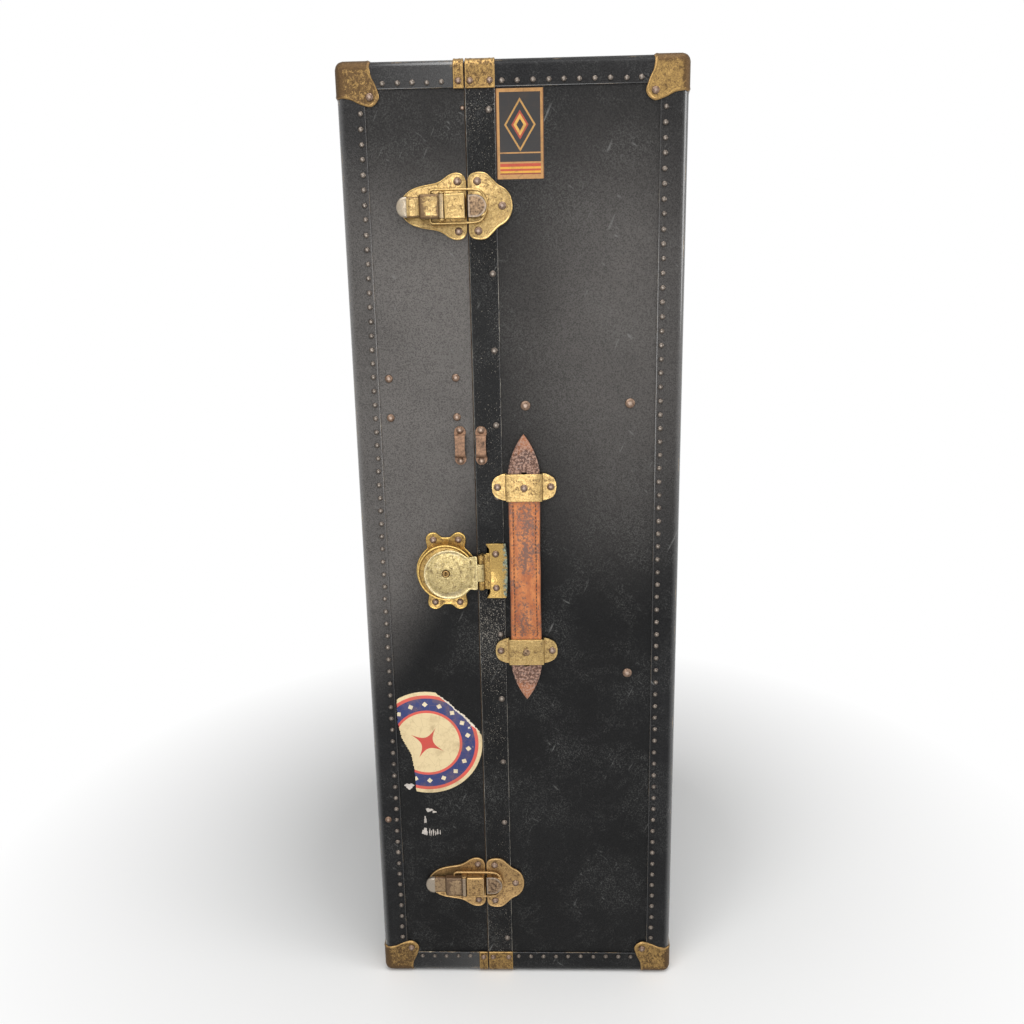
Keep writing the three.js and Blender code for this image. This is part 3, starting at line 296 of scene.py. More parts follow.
# Binding: strips of black fibre 1.2 mm thick, bent hot over the outer edges of each half and
# nailed. The bends and the strips' cut edges are the first to be rubbed brown
post_width, rail_width = .0265, .0248


def layer(shape, name):
    """The layer of numbers with this name at a bmesh's vertices, which a material reads as an attribute."""
    return shape.verts.layers.float.get(name) or shape.verts.layers.float.new(name)


def edge_strip(name, material, x_from, x_to, windows, y_to=None):
    """The rounded sheet round the body between two x planes, less its windows. Each window is a low and a
    high corner."""
    reach = .0015
    shape = bmesh.new()
    cube(shape, body_middle, (body_half + Vector((reach,) * 3)) * 2)
    bmesh.ops.bevel(shape, geom=shape.edges[:], offset=.006 + reach, segments=6, profile=.5, affect="EDGES")
    cuts = {("x", x_from), ("x", x_to)}
    for low, high in windows:
        for axis in range(3):
            for plane, inwards in ((low[axis], -1), (high[axis], 1)):
                if abs(plane) < 2:
                    cuts |= {("xyz"[axis], plane), ("xyz"[axis], plane + inwards * .0011)}
    if y_to is not None:
        cuts.add(("y", y_to))
    for axis, plane in sorted(cuts):
        normal = Vector([axis == a for a in "xyz"])
        bmesh.ops.bisect_plane(shape, geom=shape.verts[:] + shape.edges[:] + shape.faces[:], dist=1e-7,
                               plane_co=normal * plane, plane_no=normal)
    gone = []
    for face in shape.faces:
        c = face.calc_center_median()
        inside = any(all(low[i] < c[i] < high[i] for i in range(3)) for low, high in windows)
        if inside or not x_from < c.x < x_to or (y_to is not None and c.y > y_to):
            gone.append(face)
    bmesh.ops.delete(shape, geom=gone, context="FACES")
    shape.normal_update()
    worn, polished = layer(shape, "worn"), layer(shape, "polished")
    for vert in shape.verts:
        bend = 1 - max(abs(n) for n in vert.normal)
        vert[worn] = 1. if vert.is_boundary else min(1., bend * 3.2)
        vert[polished] = 1. if vert.is_boundary else min(1., bend * 12) * max(0., 1 - 3 * abs(vert.normal.z))
    made = add_piece(name, shape, material, crease=60)
    wall = made.modifiers.new("sheet_thickness", "SOLIDIFY")
    wall.thickness, wall.offset = .0012, -1
    eased = made.modifiers.new("eased_edge", "BEVEL")
    eased.width, eased.segments, eased.angle_limit = .0003, 2, math.radians(50)
    return made


def worn_strip(name, low, high, roughness, rub, chip, amount, painted_glare=.8):
    """Fibre strip whose bends and cut edges are rubbed through: the eye sees a thin broken brown line, with
    cream flecks where it is chipped."""
    # The strip takes this much of the fibre's painted glare
    made, tree, shader, at, black = fibre(name, low, high, roughness, painted_glare)
    worn = add(tree, "Attribute", attribute_name="worn")
    patches = add(tree, "TexNoise", at, Scale=30., Detail=6., Roughness=.75)
    edge = add(tree, "Math", worn, patches, operation="MULTIPLY")
    rubbed = add(tree, "MapRange", edge, amount, amount + .07)
    colour = tint(black, rub, rubbed)
    flecks = add(tree, "TexNoise", at, Scale=140., Detail=3., Roughness=.6)
    fleck = add(tree, "Math", flecks, rubbed, operation="MULTIPLY")
    colour = tint(colour, chip, fleck, .58, .62)
    # Upright bends and the edges are polished by rubbing, the flats aren't
    polished = add(tree, "Attribute", attribute_name="polished")
    feed(shader, Base_Color=colour, Coat_Weight=polished, Coat_Roughness=.12, Coat_IOR=1.7)
    return made, tree, shader


strip_fibre = worn_strip("black_fibre_strip_bent_hot", "#0e0e0f", "#1b1b1d", .3, "#74634a", "#c9bb9c", .47)[0]
past = .03
narrow_strip = edge_strip("narrow_edge_binding", strip_fibre, left - past, seam - .0003, [
    ((left + post_width, -3, foot + rail_width), (past, 3, crown - rail_width)),
    ((left + post_width, front + rail_width, -3), (past, rear - rail_width, 3)),
    ((left - past, front + post_width, foot + post_width),
     (left + post_width, rear - post_width, crown - post_width))])
wide_strip = edge_strip("wide_edge_binding", strip_fibre, seam + .0003, right + past, [
    ((-past * 5, -3, foot + rail_width), (right - post_width, 3, crown - rail_width)),
    ((-past * 5, front + rail_width, -3), (right - post_width, rear - rail_width, 3)),
    ((right - post_width, front + post_width, foot + post_width),
     (right + past, rear - post_width, crown - post_width)),
    ((-past * 5, -3, -3), (seam + .0297, rear - rail_width + .0003, 3))])
for strip, body in ((narrow_strip, "narrow_half"), (wide_strip, "wide_half")):
    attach(strip, body)
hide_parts("narrow_binding")
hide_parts("wide_binding")

# Closing band: a glossy black enamelled strip on the wide half's edge, which the narrow half
# closes against. It is dented and scratched, with a bright line where its edges have been rubbed
band_enamel, tree, shader = worn_strip("black_baked_enamel_on_steel_band", "#060607", "#0f0f10", .17,
    "#a59c8c", "#dcd6c8", .42, 0.)
at = tree.nodes["Texture Coordinate"].outputs["Object"]
# Specks where the enamel is chipped to the metal, drawn at 1.2 mm, more of them in worn stretches
flecks = add(tree, "TexNoise", at, Scale=900., Detail=1.)
patch = add(tree, "TexNoise", at, Scale=9., Detail=4., Roughness=.65)
marks = add(tree, "Math", patch, .5, flecks, operation="MULTIPLY_ADD")
marks = add(tree, "MapRange", marks, .93, 1., To_Max=.7)
black = shader.inputs["Base Color"].links[0].from_socket
colour = tint(black, "#a39c90", marks)
feed(shader, Base_Color=colour)
band_from, band_to = seam + .0006, seam + .0295
closing = edge_strip("closing_band_strip", band_enamel, band_from, band_to, [
    ((band_from - .0011, -3, -3), (band_from, 3, 3)), ((band_to, -3, -3), (band_to + .0011, 3, 3)),
    ((-3, rear - rail_width, foot - .1), (3, 3, crown + .1))])
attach(closing, "wide_half")
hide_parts("closing_band")


# Nails: round-headed steel nails 5.8 mm across hold the binding at a pitch of 14.4 mm, and larger ones of 7
# mm the closing band. They are lacquered brown and dark in their pits, with a painted shade round each head's
# foot and a painted highlight on its crown
def domed_steel(name, pits, batch, tones, pit_shade, painted_foot_shade, crown, roughness):
    """Steel heads: the eye sees warm domes of uneven brown, dark in their pits, with a painted shade round
    the foot and a painted highlight on the crown."""
    made, tree, shader, at = new_material(name)
    pits = add(tree, "TexNoise", at, Scale=pits[0], Detail=pits[1], Roughness=.7)
    batch = add(tree, "TexNoise", at, Scale=batch, Detail=1.)
    colour = tint(tint(*tones, batch), pit_shade[0], pits, pit_shade[1], .66)
    # By the head's height: a painted shade round its foot and a painted highlight on its crown
    rise = add(tree, "Attribute", attribute_name="crown")
    colour = tint(tint(colour, painted_foot_shade[0], rise, .5, painted_foot_shade[1], .8), crown[0], rise, crown[1], 1., .8)
    rough = add(tree, "MapRange", pits, .3, .7, roughness[0], roughness[1])
    feed(shader, Base_Color=colour, Metallic=.85, Roughness=rough)
    return made


# The last two colours are the painted shade round the foot and the painted highlight on the crown
nail_steel = domed_steel("browned_steel_nail_heads", (900., 3.), 55., ("#403b38", "#857a70"), ("#352c27", .5),
                         ("#15110f", .12), ("#a39a90", .86), (.24, .5))


def node_group(name, result, **sockets):
    """A new Geometry Nodes tree and what it is given: each socket is a kind, or a number, which it starts
    at."""
    tree = bpy.data.node_groups.new(name, "GeometryNodeTree")
    for socket_name, value in sockets.items():
        kind = value if isinstance(value, str) else "Int" if isinstance(value, int) else "Float"
        socket = tree.interface.new_socket(socket_name.replace("_", " "), in_out="INPUT",
            socket_type="NodeSocket" + kind)
        if kind != value:
            socket.default_value = value
    tree.interface.new_socket(result, in_out="OUTPUT", socket_type="NodeSocketGeometry")
    return tree, add(tree, "NodeGroupInput").outputs


def dome(tree, sides, rings, cut):
    """A round head of radius 1 that faces up Z, cut off below a height, with its height as the crown
    attribute."""
    ball = add(tree, "MeshUVSphere", Segments=sides, Rings=rings, Radius=1.)
    place = add(tree, "InputPosition")
    height = add(tree, "SeparateXYZ", place).outputs["Z"]
    under = add(tree, "Compare", height, cut, operation="LESS_THAN")
    head = add(tree, "DeleteGeometry", domain="POINT", Geometry=ball, Selection=under)
    return add(tree, "StoreNamedAttribute", data_type="FLOAT", Geometry=head, Name="crown", Value=height)


def hand_out(tree, instances, material):
    """Ends a Geometry Nodes tree with its instances as one plain mesh of a material."""
    solid = add(tree, "RealizeInstances", Geometry=instances)
    feed(add(tree, "NodeGroupOutput"), i0=add(tree, "SetMaterial", Geometry=solid, Material=material))


def nail_rows():
    """Geometry Nodes tree: round heads along lines of nails. The line's outward attribute is the way that
    each head faces."""
    tree, given = node_group("nail_rows", "Nails", Lines="Geometry", Pitch=.0144, Head_Radius=.0025,
                             Head_Height=.0011, Sides=10, Metal="Material")
    curve = add(tree, "MeshToCurve", Mesh=given["Lines"])
    length = add(tree, "SplineLength")
    gaps = add(tree, "Math", length.outputs["Length"], given["Pitch"], operation="DIVIDE")
    gaps = add(tree, "Math", gaps, operation="ROUND")
    count = add(tree, "Math", gaps, 1., operation="ADD")
    spaced = add(tree, "ResampleCurve", mode="COUNT", Curve=curve, Count=count)
    points = add(tree, "CurveToPoints", mode="EVALUATED", Curve=spaced)
    nudge = add(tree, "RandomValue", (-.0004,) * 3, (.0004,) * 3, data_type="FLOAT_VECTOR", Seed=7)
    outward = add(tree, "InputNamedAttribute", data_type="FLOAT_VECTOR", Name="outward")
    along = add(tree, "VectorMath", nudge, outward, operation="DOT_PRODUCT")
    lift = add(tree, "VectorMath", outward, operation="SCALE", Scale=along)
    flat = add(tree, "VectorMath", nudge, lift, operation="SUBTRACT")
    moved = add(tree, "SetPosition", Geometry=points, Offset=flat)
    head = dome(tree, given["Sides"], 8, -.45)
    size = add(tree, "CombineXYZ", X=given["Head Radius"], Y=given["Head Radius"], Z=given["Head Height"])
    head = add(tree, "Transform", Geometry=head, Scale=size)
    head = add(tree, "SetShadeSmooth", Geometry=head)
    tilt = add(tree, "RandomValue", (-.1,) * 3, (.1,) * 3, data_type="FLOAT_VECTOR", Seed=11)
    facing = add(tree, "VectorMath", outward, tilt, operation="ADD")
    turn = add(tree, "AlignRotationToVector", axis="Z", Vector=facing)
    scale = add(tree, "RandomValue", data_type="FLOAT", i2=.94, i3=1.06, Seed=5)
    heads = add(tree, "InstanceOnPoints", Points=moved, Instance=head, Rotation=turn, Scale=scale)
    hand_out(tree, heads, given["Metal"])
    return tree


def grow(name, tree, carrier, values, body):
    """Runs a Geometry Nodes tree on a carrier mesh and keeps the result as a plain mesh on one body; given
    the two bodies of a bend, it keeps the mesh where it is without a body."""
    source = bpy.data.objects.new(name + "_carrier", carrier)
    bpy.context.scene.collection.objects.link(source)
    run = source.modifiers.new("grown", "NODES")
    run.node_group = tree
    for socket in tree.interface.items_tree:
        if socket.in_out == "INPUT" and socket.name in values:
            run[socket.identifier] = values[socket.name]
    graph = bpy.context.evaluated_depsgraph_get()
    mesh = bpy.data.meshes.new_from_object(source.evaluated_get(graph))
    bpy.data.objects.remove(source)
    mesh.name = name
    made = bpy.data.objects.new(name, mesh)
    bpy.context.scene.collection.objects.link(made)
    if isinstance(body, str):
        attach(made, body)
    else:
        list(body)
        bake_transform(made)


def nail_lines(lines):
    """A mesh of separate lines, each two points and the way out of the face, for the nail tree."""
    mesh = bpy.data.meshes.new("nail_lines")
    mesh.from_pydata([p for line in lines for p in line[:2]], [(2 * i, 2 * i + 1) for i in range(len(lines))],
                     [])
    outward = mesh.attributes.new("outward", "FLOAT_VECTOR", "POINT")
    for i, line in enumerate(lines):
        outward.data[2 * i].vector = outward.data[2 * i + 1].vector = Vector(line[2])
    return mesh


rows = nail_rows()
# The nails sit 5.2 mm inside the strips' inner edge, clear of the corner caps and clamps
proud, inset, cap_reach = .0015, .0052, .0455
x_row, z_low, z_high = right - post_width + inset, foot + rail_width - inset, crown - rail_width + inset
y_front, y_rear = front + post_width - inset, rear - post_width + inset
# The rows along the rails start beside the clamps on the face and beside the seam at the rear
for half, way, near, near_rear, far in (("narrow", -1, -.0685, -.0605, -.1265),
                                        ("wide", 1, -.0095, -.0325, .1265)):
    lines, x = [], way * x_row
    for y, out in ((front - proud, -1), (rear + proud, 1)):
        reach = near if out < 0 else near_rear
        lines.append(((x, y, foot + cap_reach + .001), (x, y, crown - cap_reach - .001), (0, out, 0)))
        for z in (z_low, z_high):
            lines.append(((reach, y, z), (far, y, z), (0, out, 0)))
    for z, out in ((foot - proud, -1), (crown + proud, 1)):
        lines.append(((x, front + cap_reach, z), (x, rear - cap_reach, z), (0, 0, out)))
        for y in (front + rail_width - inset, rear - rail_width + inset):
            reach = near if y < 0 else near_rear
            lines.append(((reach, y, z), (far, y, z), (0, 0, out)))
    x = way * (right + proud)
    for y in (y_front, y_rear):
        lines.append(((x, y, foot + cap_reach), (x, y, crown - cap_reach), (way, 0, 0)))
    for z in (foot + post_width - inset, crown - post_width + inset):
        lines.append(((x, front + cap_reach, z), (x, rear - cap_reach, z), (way, 0, 0)))
    grow(half + "_binding_nails", rows, nail_lines(lines),
         {"Pitch": .0144, "Head Radius": .0029, "Head Height": .0014, "Sides": 10, "Metal": nail_steel},
         half + "_half")

band_row, band_start, band_end, face = seam + .0235, front + cap_reach, rear - .0355, front - proud
lines = [((band_row, face, crown - cap_reach), (band_row, face, foot + cap_reach), (0, -1, 0)),
         ((band_row, band_start, crown + proud), (band_row, band_end, crown + proud), (0, 0, 1)),
         ((band_row, band_start, foot - proud), (band_row, band_end, foot - proud), (0, 0, -1))]
grow("closing_band_nails", rows, nail_lines(lines),
     {"Pitch": .0785, "Head Radius": .0035, "Head Height": .0015, "Sides": 12, "Metal": nail_steel},
     "wide_half")


# Corner caps: scalloped caps pressed from brass sheet over the eight corners, each held by a rivet
# on every side face. The brass is mottled brown, bright on its rim and on the rib below the rivet
def old_brass(name, bright, body_tone, patina, brown, roughness=.36, edge=-.16, rim_tone=None):
    """Old pressed brass: the eye sees a warm metal with streaky gold, cloudy brown patina in the hollows and
    a bright rubbed rim."""
    made, tree, shader, at = new_material(name)
    cloud = add(tree, "TexNoise", at, Scale=270., Detail=5., Roughness=.75, Distortion=1.)
    fine = add(tree, "TexNoise", at, Scale=700., Detail=4., Roughness=.7)
    rim = add(tree, "Attribute", attribute_name="rim")
    colour = tint(body_tone, bright, fine, .36, .66)
    stain = add(tree, "Math", rim, edge, cloud, operation="MULTIPLY_ADD")
    stain = add(tree, "Math", fine, .45, stain, operation="MULTIPLY_ADD")
    cap_browning = add(tree, "Attribute", attribute_name="cap_browning")
    stain = add(tree, "Math", cap_browning, .17, stain, operation="MULTIPLY_ADD")
    stain = add(tree, "MapRange", stain, brown, brown + .11, To_Max=.82)
    colour = tint(colour, patina, stain)
    rubbed = add(tree, "MapRange", rim, .55, 1., To_Max=.6 if edge < 0 else 0.)
    colour = tint(colour, rim_tone or bright, rubbed)
    # Where the plating is worn through, the bare attribute turns it to grey steel
    bare = add(tree, "Attribute", attribute_name="bare")
    worn = add(tree, "Math", fine, .5, bare, operation="MULTIPLY_ADD")
    colour = tint(colour, "#a39b8f", worn, .7, 1.15)
    rough = add(tree, "Math", stain, .26, roughness, operation="MULTIPLY_ADD")
    rough = add(tree, "Math", rubbed, -.14, rough, operation="MULTIPLY_ADD")
    bump = add(tree, "Bump", Strength=.3, Distance=.0004, Height=fine)
    dents = add(tree, "TexNoise", at, Scale=130., Detail=2.)
    bump = add(tree, "Bump", Strength=.35, Distance=.0012, Height=dents, Normal=bump)
    feed(shader, Base_Color=colour, Metallic=.9, Roughness=rough, Normal=bump)
    return made


cap_brass = old_brass("pressed_brass_browned", "#bd9a5c", "#7f6542", "#453327", .685, rim_tone="#94754f")
# A cap's outline on one face, from one edge of the trunk to the other, as shares of the cap's size
cap_half = [(.82, 0), (.8, .13), (.83, .33), (.92, .52), (.99, .74), (.965, .86), (.86, .965), (.74, .99),
            (.52, .92), (.33, .83), (.13, .8), (0, .82)]
cap_size, cap_rivet = .043, .0318


def smooth_line(points, steps):
    """A smooth line through the points, with that many steps between each two."""
    line = []
    for i in range(len(points) - 1):
        a, b = Vector(points[max(i - 1, 0)]), Vector(points[i])
        c, d = Vector(points[i + 1]), Vector(points[min(i + 2, len(points) - 1)])
        for k in range(steps):
            t = k / steps
            line.append(.5 * ((2 * b) + (c - a) * t + (2 * a - 5 * b + 4 * c - d) * t ** 2
                + (3 * b - a - 3 * c + d) * t ** 3))
    return line + [Vector(points[-1])]


def corner_cap(shape, corner):
    """Adds one cap: rings from the corner out to its outline over the three faces, as a sheet from 1.8 to 3
    mm off the body."""
    inwards = [-1 if c > m else 1 for c, m in zip(corner, body_middle)]
    outline = []
    for a, b in ((0, 1), (1, 2), (2, 0)):
        for p in smooth_line(cap_half, 4)[:-1]:
            spot = [0., 0., 0.]
            spot[a], spot[b] = p.x * cap_size, p.y * cap_size
            outline.append(spot)
    shares = [0, .1, .2, .3, .42, .54, .66, .76, .84, .9, .94, .965, .985, 1]
    rim = layer(shape, "rim")

    def vertex(spot, share, off):
        reach = .006 + off
        box = [p * share - off for p in spot]
        core = [max(q, .006) for q in box]
        out = [q - c for q, c in zip(box, core)]
        length = max(math.sqrt(sum(o * o for o in out)), 1e-9)
        made = [c + o / length * reach for c, o in zip(core, out)]
        return shape.verts.new([corner[i] + inwards[i] * made[i] for i in range(3)])

    def outer_height(spot, share):
        length = math.sqrt(sum(p * p for p in spot))
        to_edge = (1 - share) * length
        high = .00265 + .00035 * math.exp(-((to_edge - .0013) / .0009) ** 2)
        flat = sorted(p * share for p in spot)[1:]
        if min(flat) > .009:
            beside = abs(flat[0] - flat[1]) / math.sqrt(2)
            along = (flat[0] + flat[1]) / 2
            if along < cap_rivet:
                high += .0006 * math.exp(-(beside / .0022) ** 2) * min(1, max(0, (along - .009) / .006))
            away = math.hypot(flat[0] - cap_rivet, flat[1] - cap_rivet)
            high += .0004 * math.exp(-((away - .0052) / .0011) ** 2)
        return high

    rings = []
    for share in shares:
        ring = []
        for spot in outline:
            made = vertex(spot, share, outer_height(spot, share) if share < 1 else .0022) if share else None
            if made:
                length = math.sqrt(sum(p * p for p in spot))
                made[rim] = max(0., 1 - (1 - share) * length / .0022)
            ring.append(made)
        rings.append(ring)
    peak = vertex([0., 0., 0.], 1, .00265)
    base = [vertex(spot, 1, .0018) for spot in outline]
    middle = [vertex(spot, .5, .0018) for spot in outline]
    root_point = vertex([0., 0., 0.], 1, .0018)
    count = len(outline)
    faces = []
    for i in range(count):
        j = (i + 1) % count
        faces.append((peak, rings[1][i], rings[1][j]))
        for k in range(1, len(rings) - 1):
            faces.append((rings[k][i], rings[k + 1][i], rings[k + 1][j], rings[k][j]))
        faces += [(rings[-1][i], base[i], base[j], rings[-1][j]), (base[i], middle[i], middle[j], base[j]),
                  (middle[i], root_point, middle[j])]
    made = [shape.faces.new(face) for face in faces]
    bmesh.ops.recalc_face_normals(shape, faces=made)


for half, x in (("narrow", left), ("wide", right)):
    shape = bmesh.new()
    layer(shape, "rim")
    for y in (front, rear):
        for z in (foot, crown):
            corner_cap(shape, (x, y, z))
    # The caps are browned by a set amount for each half and height, most on the narrow half's upper caps and
    # least on the wide half's upper caps, and more on the bends over the trunk's edges, where the plating is
    # worn off, most of all on the upper caps
    cap_browning, bare = layer(shape, "cap_browning"), layer(shape, "bare")
    for vert in shape.verts:
        upper = vert.co.z > .5
        ends = zip(vert.co, (left, front, foot), (right, rear, crown))
        off = sorted(min(abs(c - low), abs(c - high)) for c, low, high in ends)
        bend = min(1., max(0., (.0078 - off[1]) / .0058)) * (1 if upper else .55)
        vert[bare] = .42 * bend
        vert[cap_browning] = 1.5 * bend + {"narrow": (.25, .38), "wide": (0, -.4)}[half][upper]
    add_piece(half + "_corner_caps", shape, cap_brass, half + "_half",
              [f"{half}_corner_{side}_{end}" for side in ("front", "rear") for end in ("top", "bottom")],
              crease=50)


# Seam clamps: brass straps bent over the top and bottom edges beside the seam, one narrow and one
# wide at each end, riveted on the front. The wide ones carry two pressed lines, the narrow a wave
def on_front(u, v, w):
    """A point of the front face in millimetres: u from the seam, v up from the body's foot, w out of the
    face."""
    return Vector((seam + u / 1000, front - w / 1000, foot + v / 1000))


def pressed_sheet(shape, across, along, surface, low, high):
    """Adds a closed sheet over a grid of two lists of millimetres. Surface gives a point for across, along
    and height, high the height of the top."""
    rim = layer(shape, "rim")
    layers = []
    for top in (True, False):
        rows = []
        for b in along:
            row = []
            for a in across:
                made = shape.verts.new(surface(a, b, high(a, b) if top else low))
                edge = min(a - across[0], across[-1] - a, b - along[0], along[-1] - b)
                made[rim] = max(0., 1 - edge / 1.8) if top else 0.
                row.append(made)
            rows.append(row)
        layers.append(rows)
    upper, under = layers
    n, m = len(along), len(across)
    faces = []
    for rows, way in ((upper, 1), (under, -1)):
        for j in range(n - 1):
            for i in range(m - 1):
                corners = [rows[j][i], rows[j][i + 1], rows[j + 1][i + 1], rows[j + 1][i]]
                faces.append(shape.faces.new(corners[::way]))
    border = [(j, 0) for j in range(n)] + [(n - 1, i) for i in range(1, m)]
    border += [(j, m - 1) for j in range(n - 2, -1, -1)] + [(0, i) for i in range(m - 2, 0, -1)]
    for (j, i), (q, p) in zip(border, border[1:] + border[:1]):
        faces.append(shape.faces.new([upper[j][i], upper[q][p], under[q][p], under[j][i]]))
    bmesh.ops.recalc_face_normals(shape, faces=faces)


def steps(low, high, pitch, rim=(.35, .8, 1.4)):
    """Grid lines from low to high: close together at both ends, for the rim, and a pitch apart between."""
    inner = [low + r for r in rim] + [high - r for r in rim]
    count = max(1, round((high - low - 2 * rim[-1]) / pitch))
    inner += [low + rim[-1] + (high - low - 2 * rim[-1]) * k / count for k in range(1, count)]
    return sorted({low, high, *inner})


clamp_legs, clamp_bend = 20., 6 * math.pi / 2
for half, u_low, u_high, wave in (("narrow", -10.8, -.6, True), ("wide", .8, 30., False)):
    shape = bmesh.new()
    for end in (1, -1):
        def surface(a, b, off, end=end):
            edge = crown if end > 0 else foot
            turn = min(max((b - clamp_legs) / clamp_bend, 0), 1) * math.pi / 2
            reach = (6 + off) / 1000
            y = front + .006 - reach * math.cos(turn) + max(0, b - clamp_legs - clamp_bend) / 1000
            z = edge - end * (.006 - reach * math.sin(turn) + max(0, clamp_legs - b) / 1000)
            return Vector((seam + a / 1000, y, z))

        def clamp_top(a, b, low=u_low, top=u_high, wave=wave):
            edge = min(a - low, top - a, b, 2 * clamp_legs + clamp_bend - b)
            rise = 2.6 + .4 * math.exp(-((edge - 1.1) / .7) ** 2)
            if edge <= 0:
                return 2.3
            if wave:
                line = abs(a - (low + top) / 2 - 1.6 * math.sin(b * .75))
                return rise + .35 * math.exp(-(line / .6) ** 2) * (b > 11)
            return rise + .3 * math.exp(-((edge - 5.2) / .7) ** 2)

        pressed_sheet(shape, steps(u_low, u_high, .8), steps(0, 2 * clamp_legs + clamp_bend, 1.1), surface,
                      1.8, clamp_top)
    add_piece(half + "_seam_clamps", shape, cap_brass, half + "_half",
              (half + "_clamp_top", half + "_clamp_bottom"), crease=50)

# Hinges: three steel butt hinges on the back, each of two leaves and a 4.2 mm barrel whose
# knuckles they share. The pin is peened over in the narrow leaf's end knuckles
blued_steel, tree, shader, at = new_material("blued_steel_hinges")
# Blued steel: dark grey-blue, rusting brown from the edges and dull in its pits
rim = add(tree, "Attribute", attribute_name="rim")
spots = add(tree, "TexNoise", at, Scale=160., Detail=6., Roughness=.7)
edge = add(tree, "Math", rim, .16, spots, operation="MULTIPLY_ADD")
colour = tint("#4d4f52", "#5b3a26", edge, .55, .66)
rough = add(tree, "MapRange", edge, .5, .7, .34, .68)
bump = add(tree, "Bump", Strength=.25, Distance=.0004, Height=spots)
feed(shader, Base_Color=colour, Metallic=.8, Roughness=rough, Normal=bump)


def join_rings(shape, rings, closed=False):
    """Joins rings of vertices by faces and closes both ends, or joins the last ring to the first. A ring of
    one vertex is a pole."""
    faces = []
    for low, high in zip(rings, rings[1:] + rings[:closed]):
        count = max(len(low), len(high))
        for i in range(count):
            j = (i + 1) % count
            corners = low[i % len(low)], low[j % len(low)], high[j % len(high)], high[i % len(high)]
            faces.append(shape.faces.new(list(dict.fromkeys(corners))))
    if not closed:
        faces += [shape.faces.new(ring) for ring in (rings[0], rings[-1]) if len(ring) > 1]
    bmesh.ops.recalc_face_normals(shape, faces=faces)


def turns(count):
    """Even steps of one whole turn, in radians."""
    return [2 * math.pi * k / count for k in range(count)]


def lathe(shape, profile, place, sides=32, rim_at=()):
    """Adds a turned solid: a profile of radius and height pairs from one pole to the other, set down by a
    place function of x, y and height."""
    rim = layer(shape, "rim")
    rings = []
    for k, (r, h) in enumerate(profile):
        ring = [shape.verts.new(place(r * math.cos(turn), r * math.sin(turn), h))
                for turn in turns(sides if r > 1e-6 else 1)]
        for made in ring:
            made[rim] = 1. if k in rim_at else 0.
        rings.append(ring)
    join_rings(shape, rings)


hinge_axis, barrel, knuckle_pitch, hinge_middles = 4.9, 4.2, 14., (922, 517.5, 113)
for half, way, knuckles in (("narrow", -1, (0, 2, 4)), ("wide", 1, (1, 3))):
    shape = bmesh.new()
    for centre in (middle / 1000 for middle in hinge_middles):
        def leaf(a, b, off, way=way, centre=centre):
            return Vector((seam + way * a / 1000, rear + off / 1000, centre + b / 1000))
        pressed_sheet(shape, steps(5, 36, 6, (.3, .8)), steps(-35, 35, 14, (.3, .8)), leaf, .3,
                      lambda a, b: 1.8 if a in (5, 36) or abs(b) == 35 else 2.1)
        for k in knuckles:
            low, high = -35 + k * knuckle_pitch + .2, -35 + (k + 1) * knuckle_pitch - .2

            def axis(x, y, h, centre=centre):
                return Vector((seam + x / 1000, rear + (hinge_axis + y) / 1000, centre + h / 1000))
            lathe(shape, [(0, low), (barrel - .35, low), (barrel, low + .35), (barrel, high - .35),
                (barrel - .35, high), (0, high)], axis, 24, (1, 4))
            pressed_sheet(shape, [1.5, 3.5, 5.6], [low, low + .35, high - .35, high], leaf, .7,
                          lambda a, b: 2.05)
        if half == "narrow":
            lathe(shape, [(0, -34.9), (1.6, -34.9), (1.6, 34.9), (0, 34.9)], axis, 16)
    add_piece(half + "_hinge_leaves", shape, blued_steel, half + "_half",
              [f"hinge_leaf_{half}_{place}" for place in ("top", "middle", "bottom")], crease=40)

# Rivets: domed steel heads, copper-washed and browned, closed over every plate on the trunk. The
# caps' rivets stand in a raised ring, the ones in the bare fibre hold the fittings inside
# As with the nails, a painted shade round each head's foot and a painted highlight on its crown
rivet_steel = domed_steel("copper_washed_steel_rivets", (520., 4.), 26., ("#664e3f", "#96806f"),
                          ("#4a372b", .48), ("#241812", .1), ("#b3a092", .88), (.3, .55))
rivet_tree, given = node_group("rivet_heads", "Rivets", Spots="Geometry", Sides=20, Rings=12,
    Metal="Material")
head = add(rivet_tree, "SetShadeSmooth", Geometry=dome(rivet_tree, given["Sides"], given["Rings"], -.3))
outward = add(rivet_tree, "InputNamedAttribute", data_type="FLOAT_VECTOR", Name="outward")
size = add(rivet_tree, "InputNamedAttribute", data_type="FLOAT_VECTOR", Name="size")
tilt = add(rivet_tree, "RandomValue", (-.05,) * 3, (.05,) * 3, data_type="FLOAT_VECTOR", Seed=3)
facing = add(rivet_tree, "VectorMath", outward, tilt, operation="ADD")
turn = add(rivet_tree, "AlignRotationToVector", axis="Z", Vector=facing)
heads = add(rivet_tree, "InstanceOnPoints", Points=given["Spots"], Instance=head, Rotation=turn, Scale=size)
hand_out(rivet_tree, heads, given["Metal"])


def rivets(name, spots, body, metal=rivet_steel):
    """Rivet heads, each a point of the plate, the way out, and its radius and height in millimetres."""
    mesh = bpy.data.meshes.new("rivet_spots")
    mesh.from_pydata([spot[0] for spot in spots], [], [])
    outward = mesh.attributes.new("outward", "FLOAT_VECTOR", "POINT")
    size = mesh.attributes.new("size", "FLOAT_VECTOR", "POINT")
    for i, (point, out, radius, height) in enumerate(spots):
        outward.data[i].vector = Vector(out)
        size.data[i].vector = Vector((radius, radius, height)) / 1000
    grow(name, rivet_tree, mesh, {"Sides": 20, "Rings": 12, "Metal": metal}, body)


toward = (0, -1, 0)
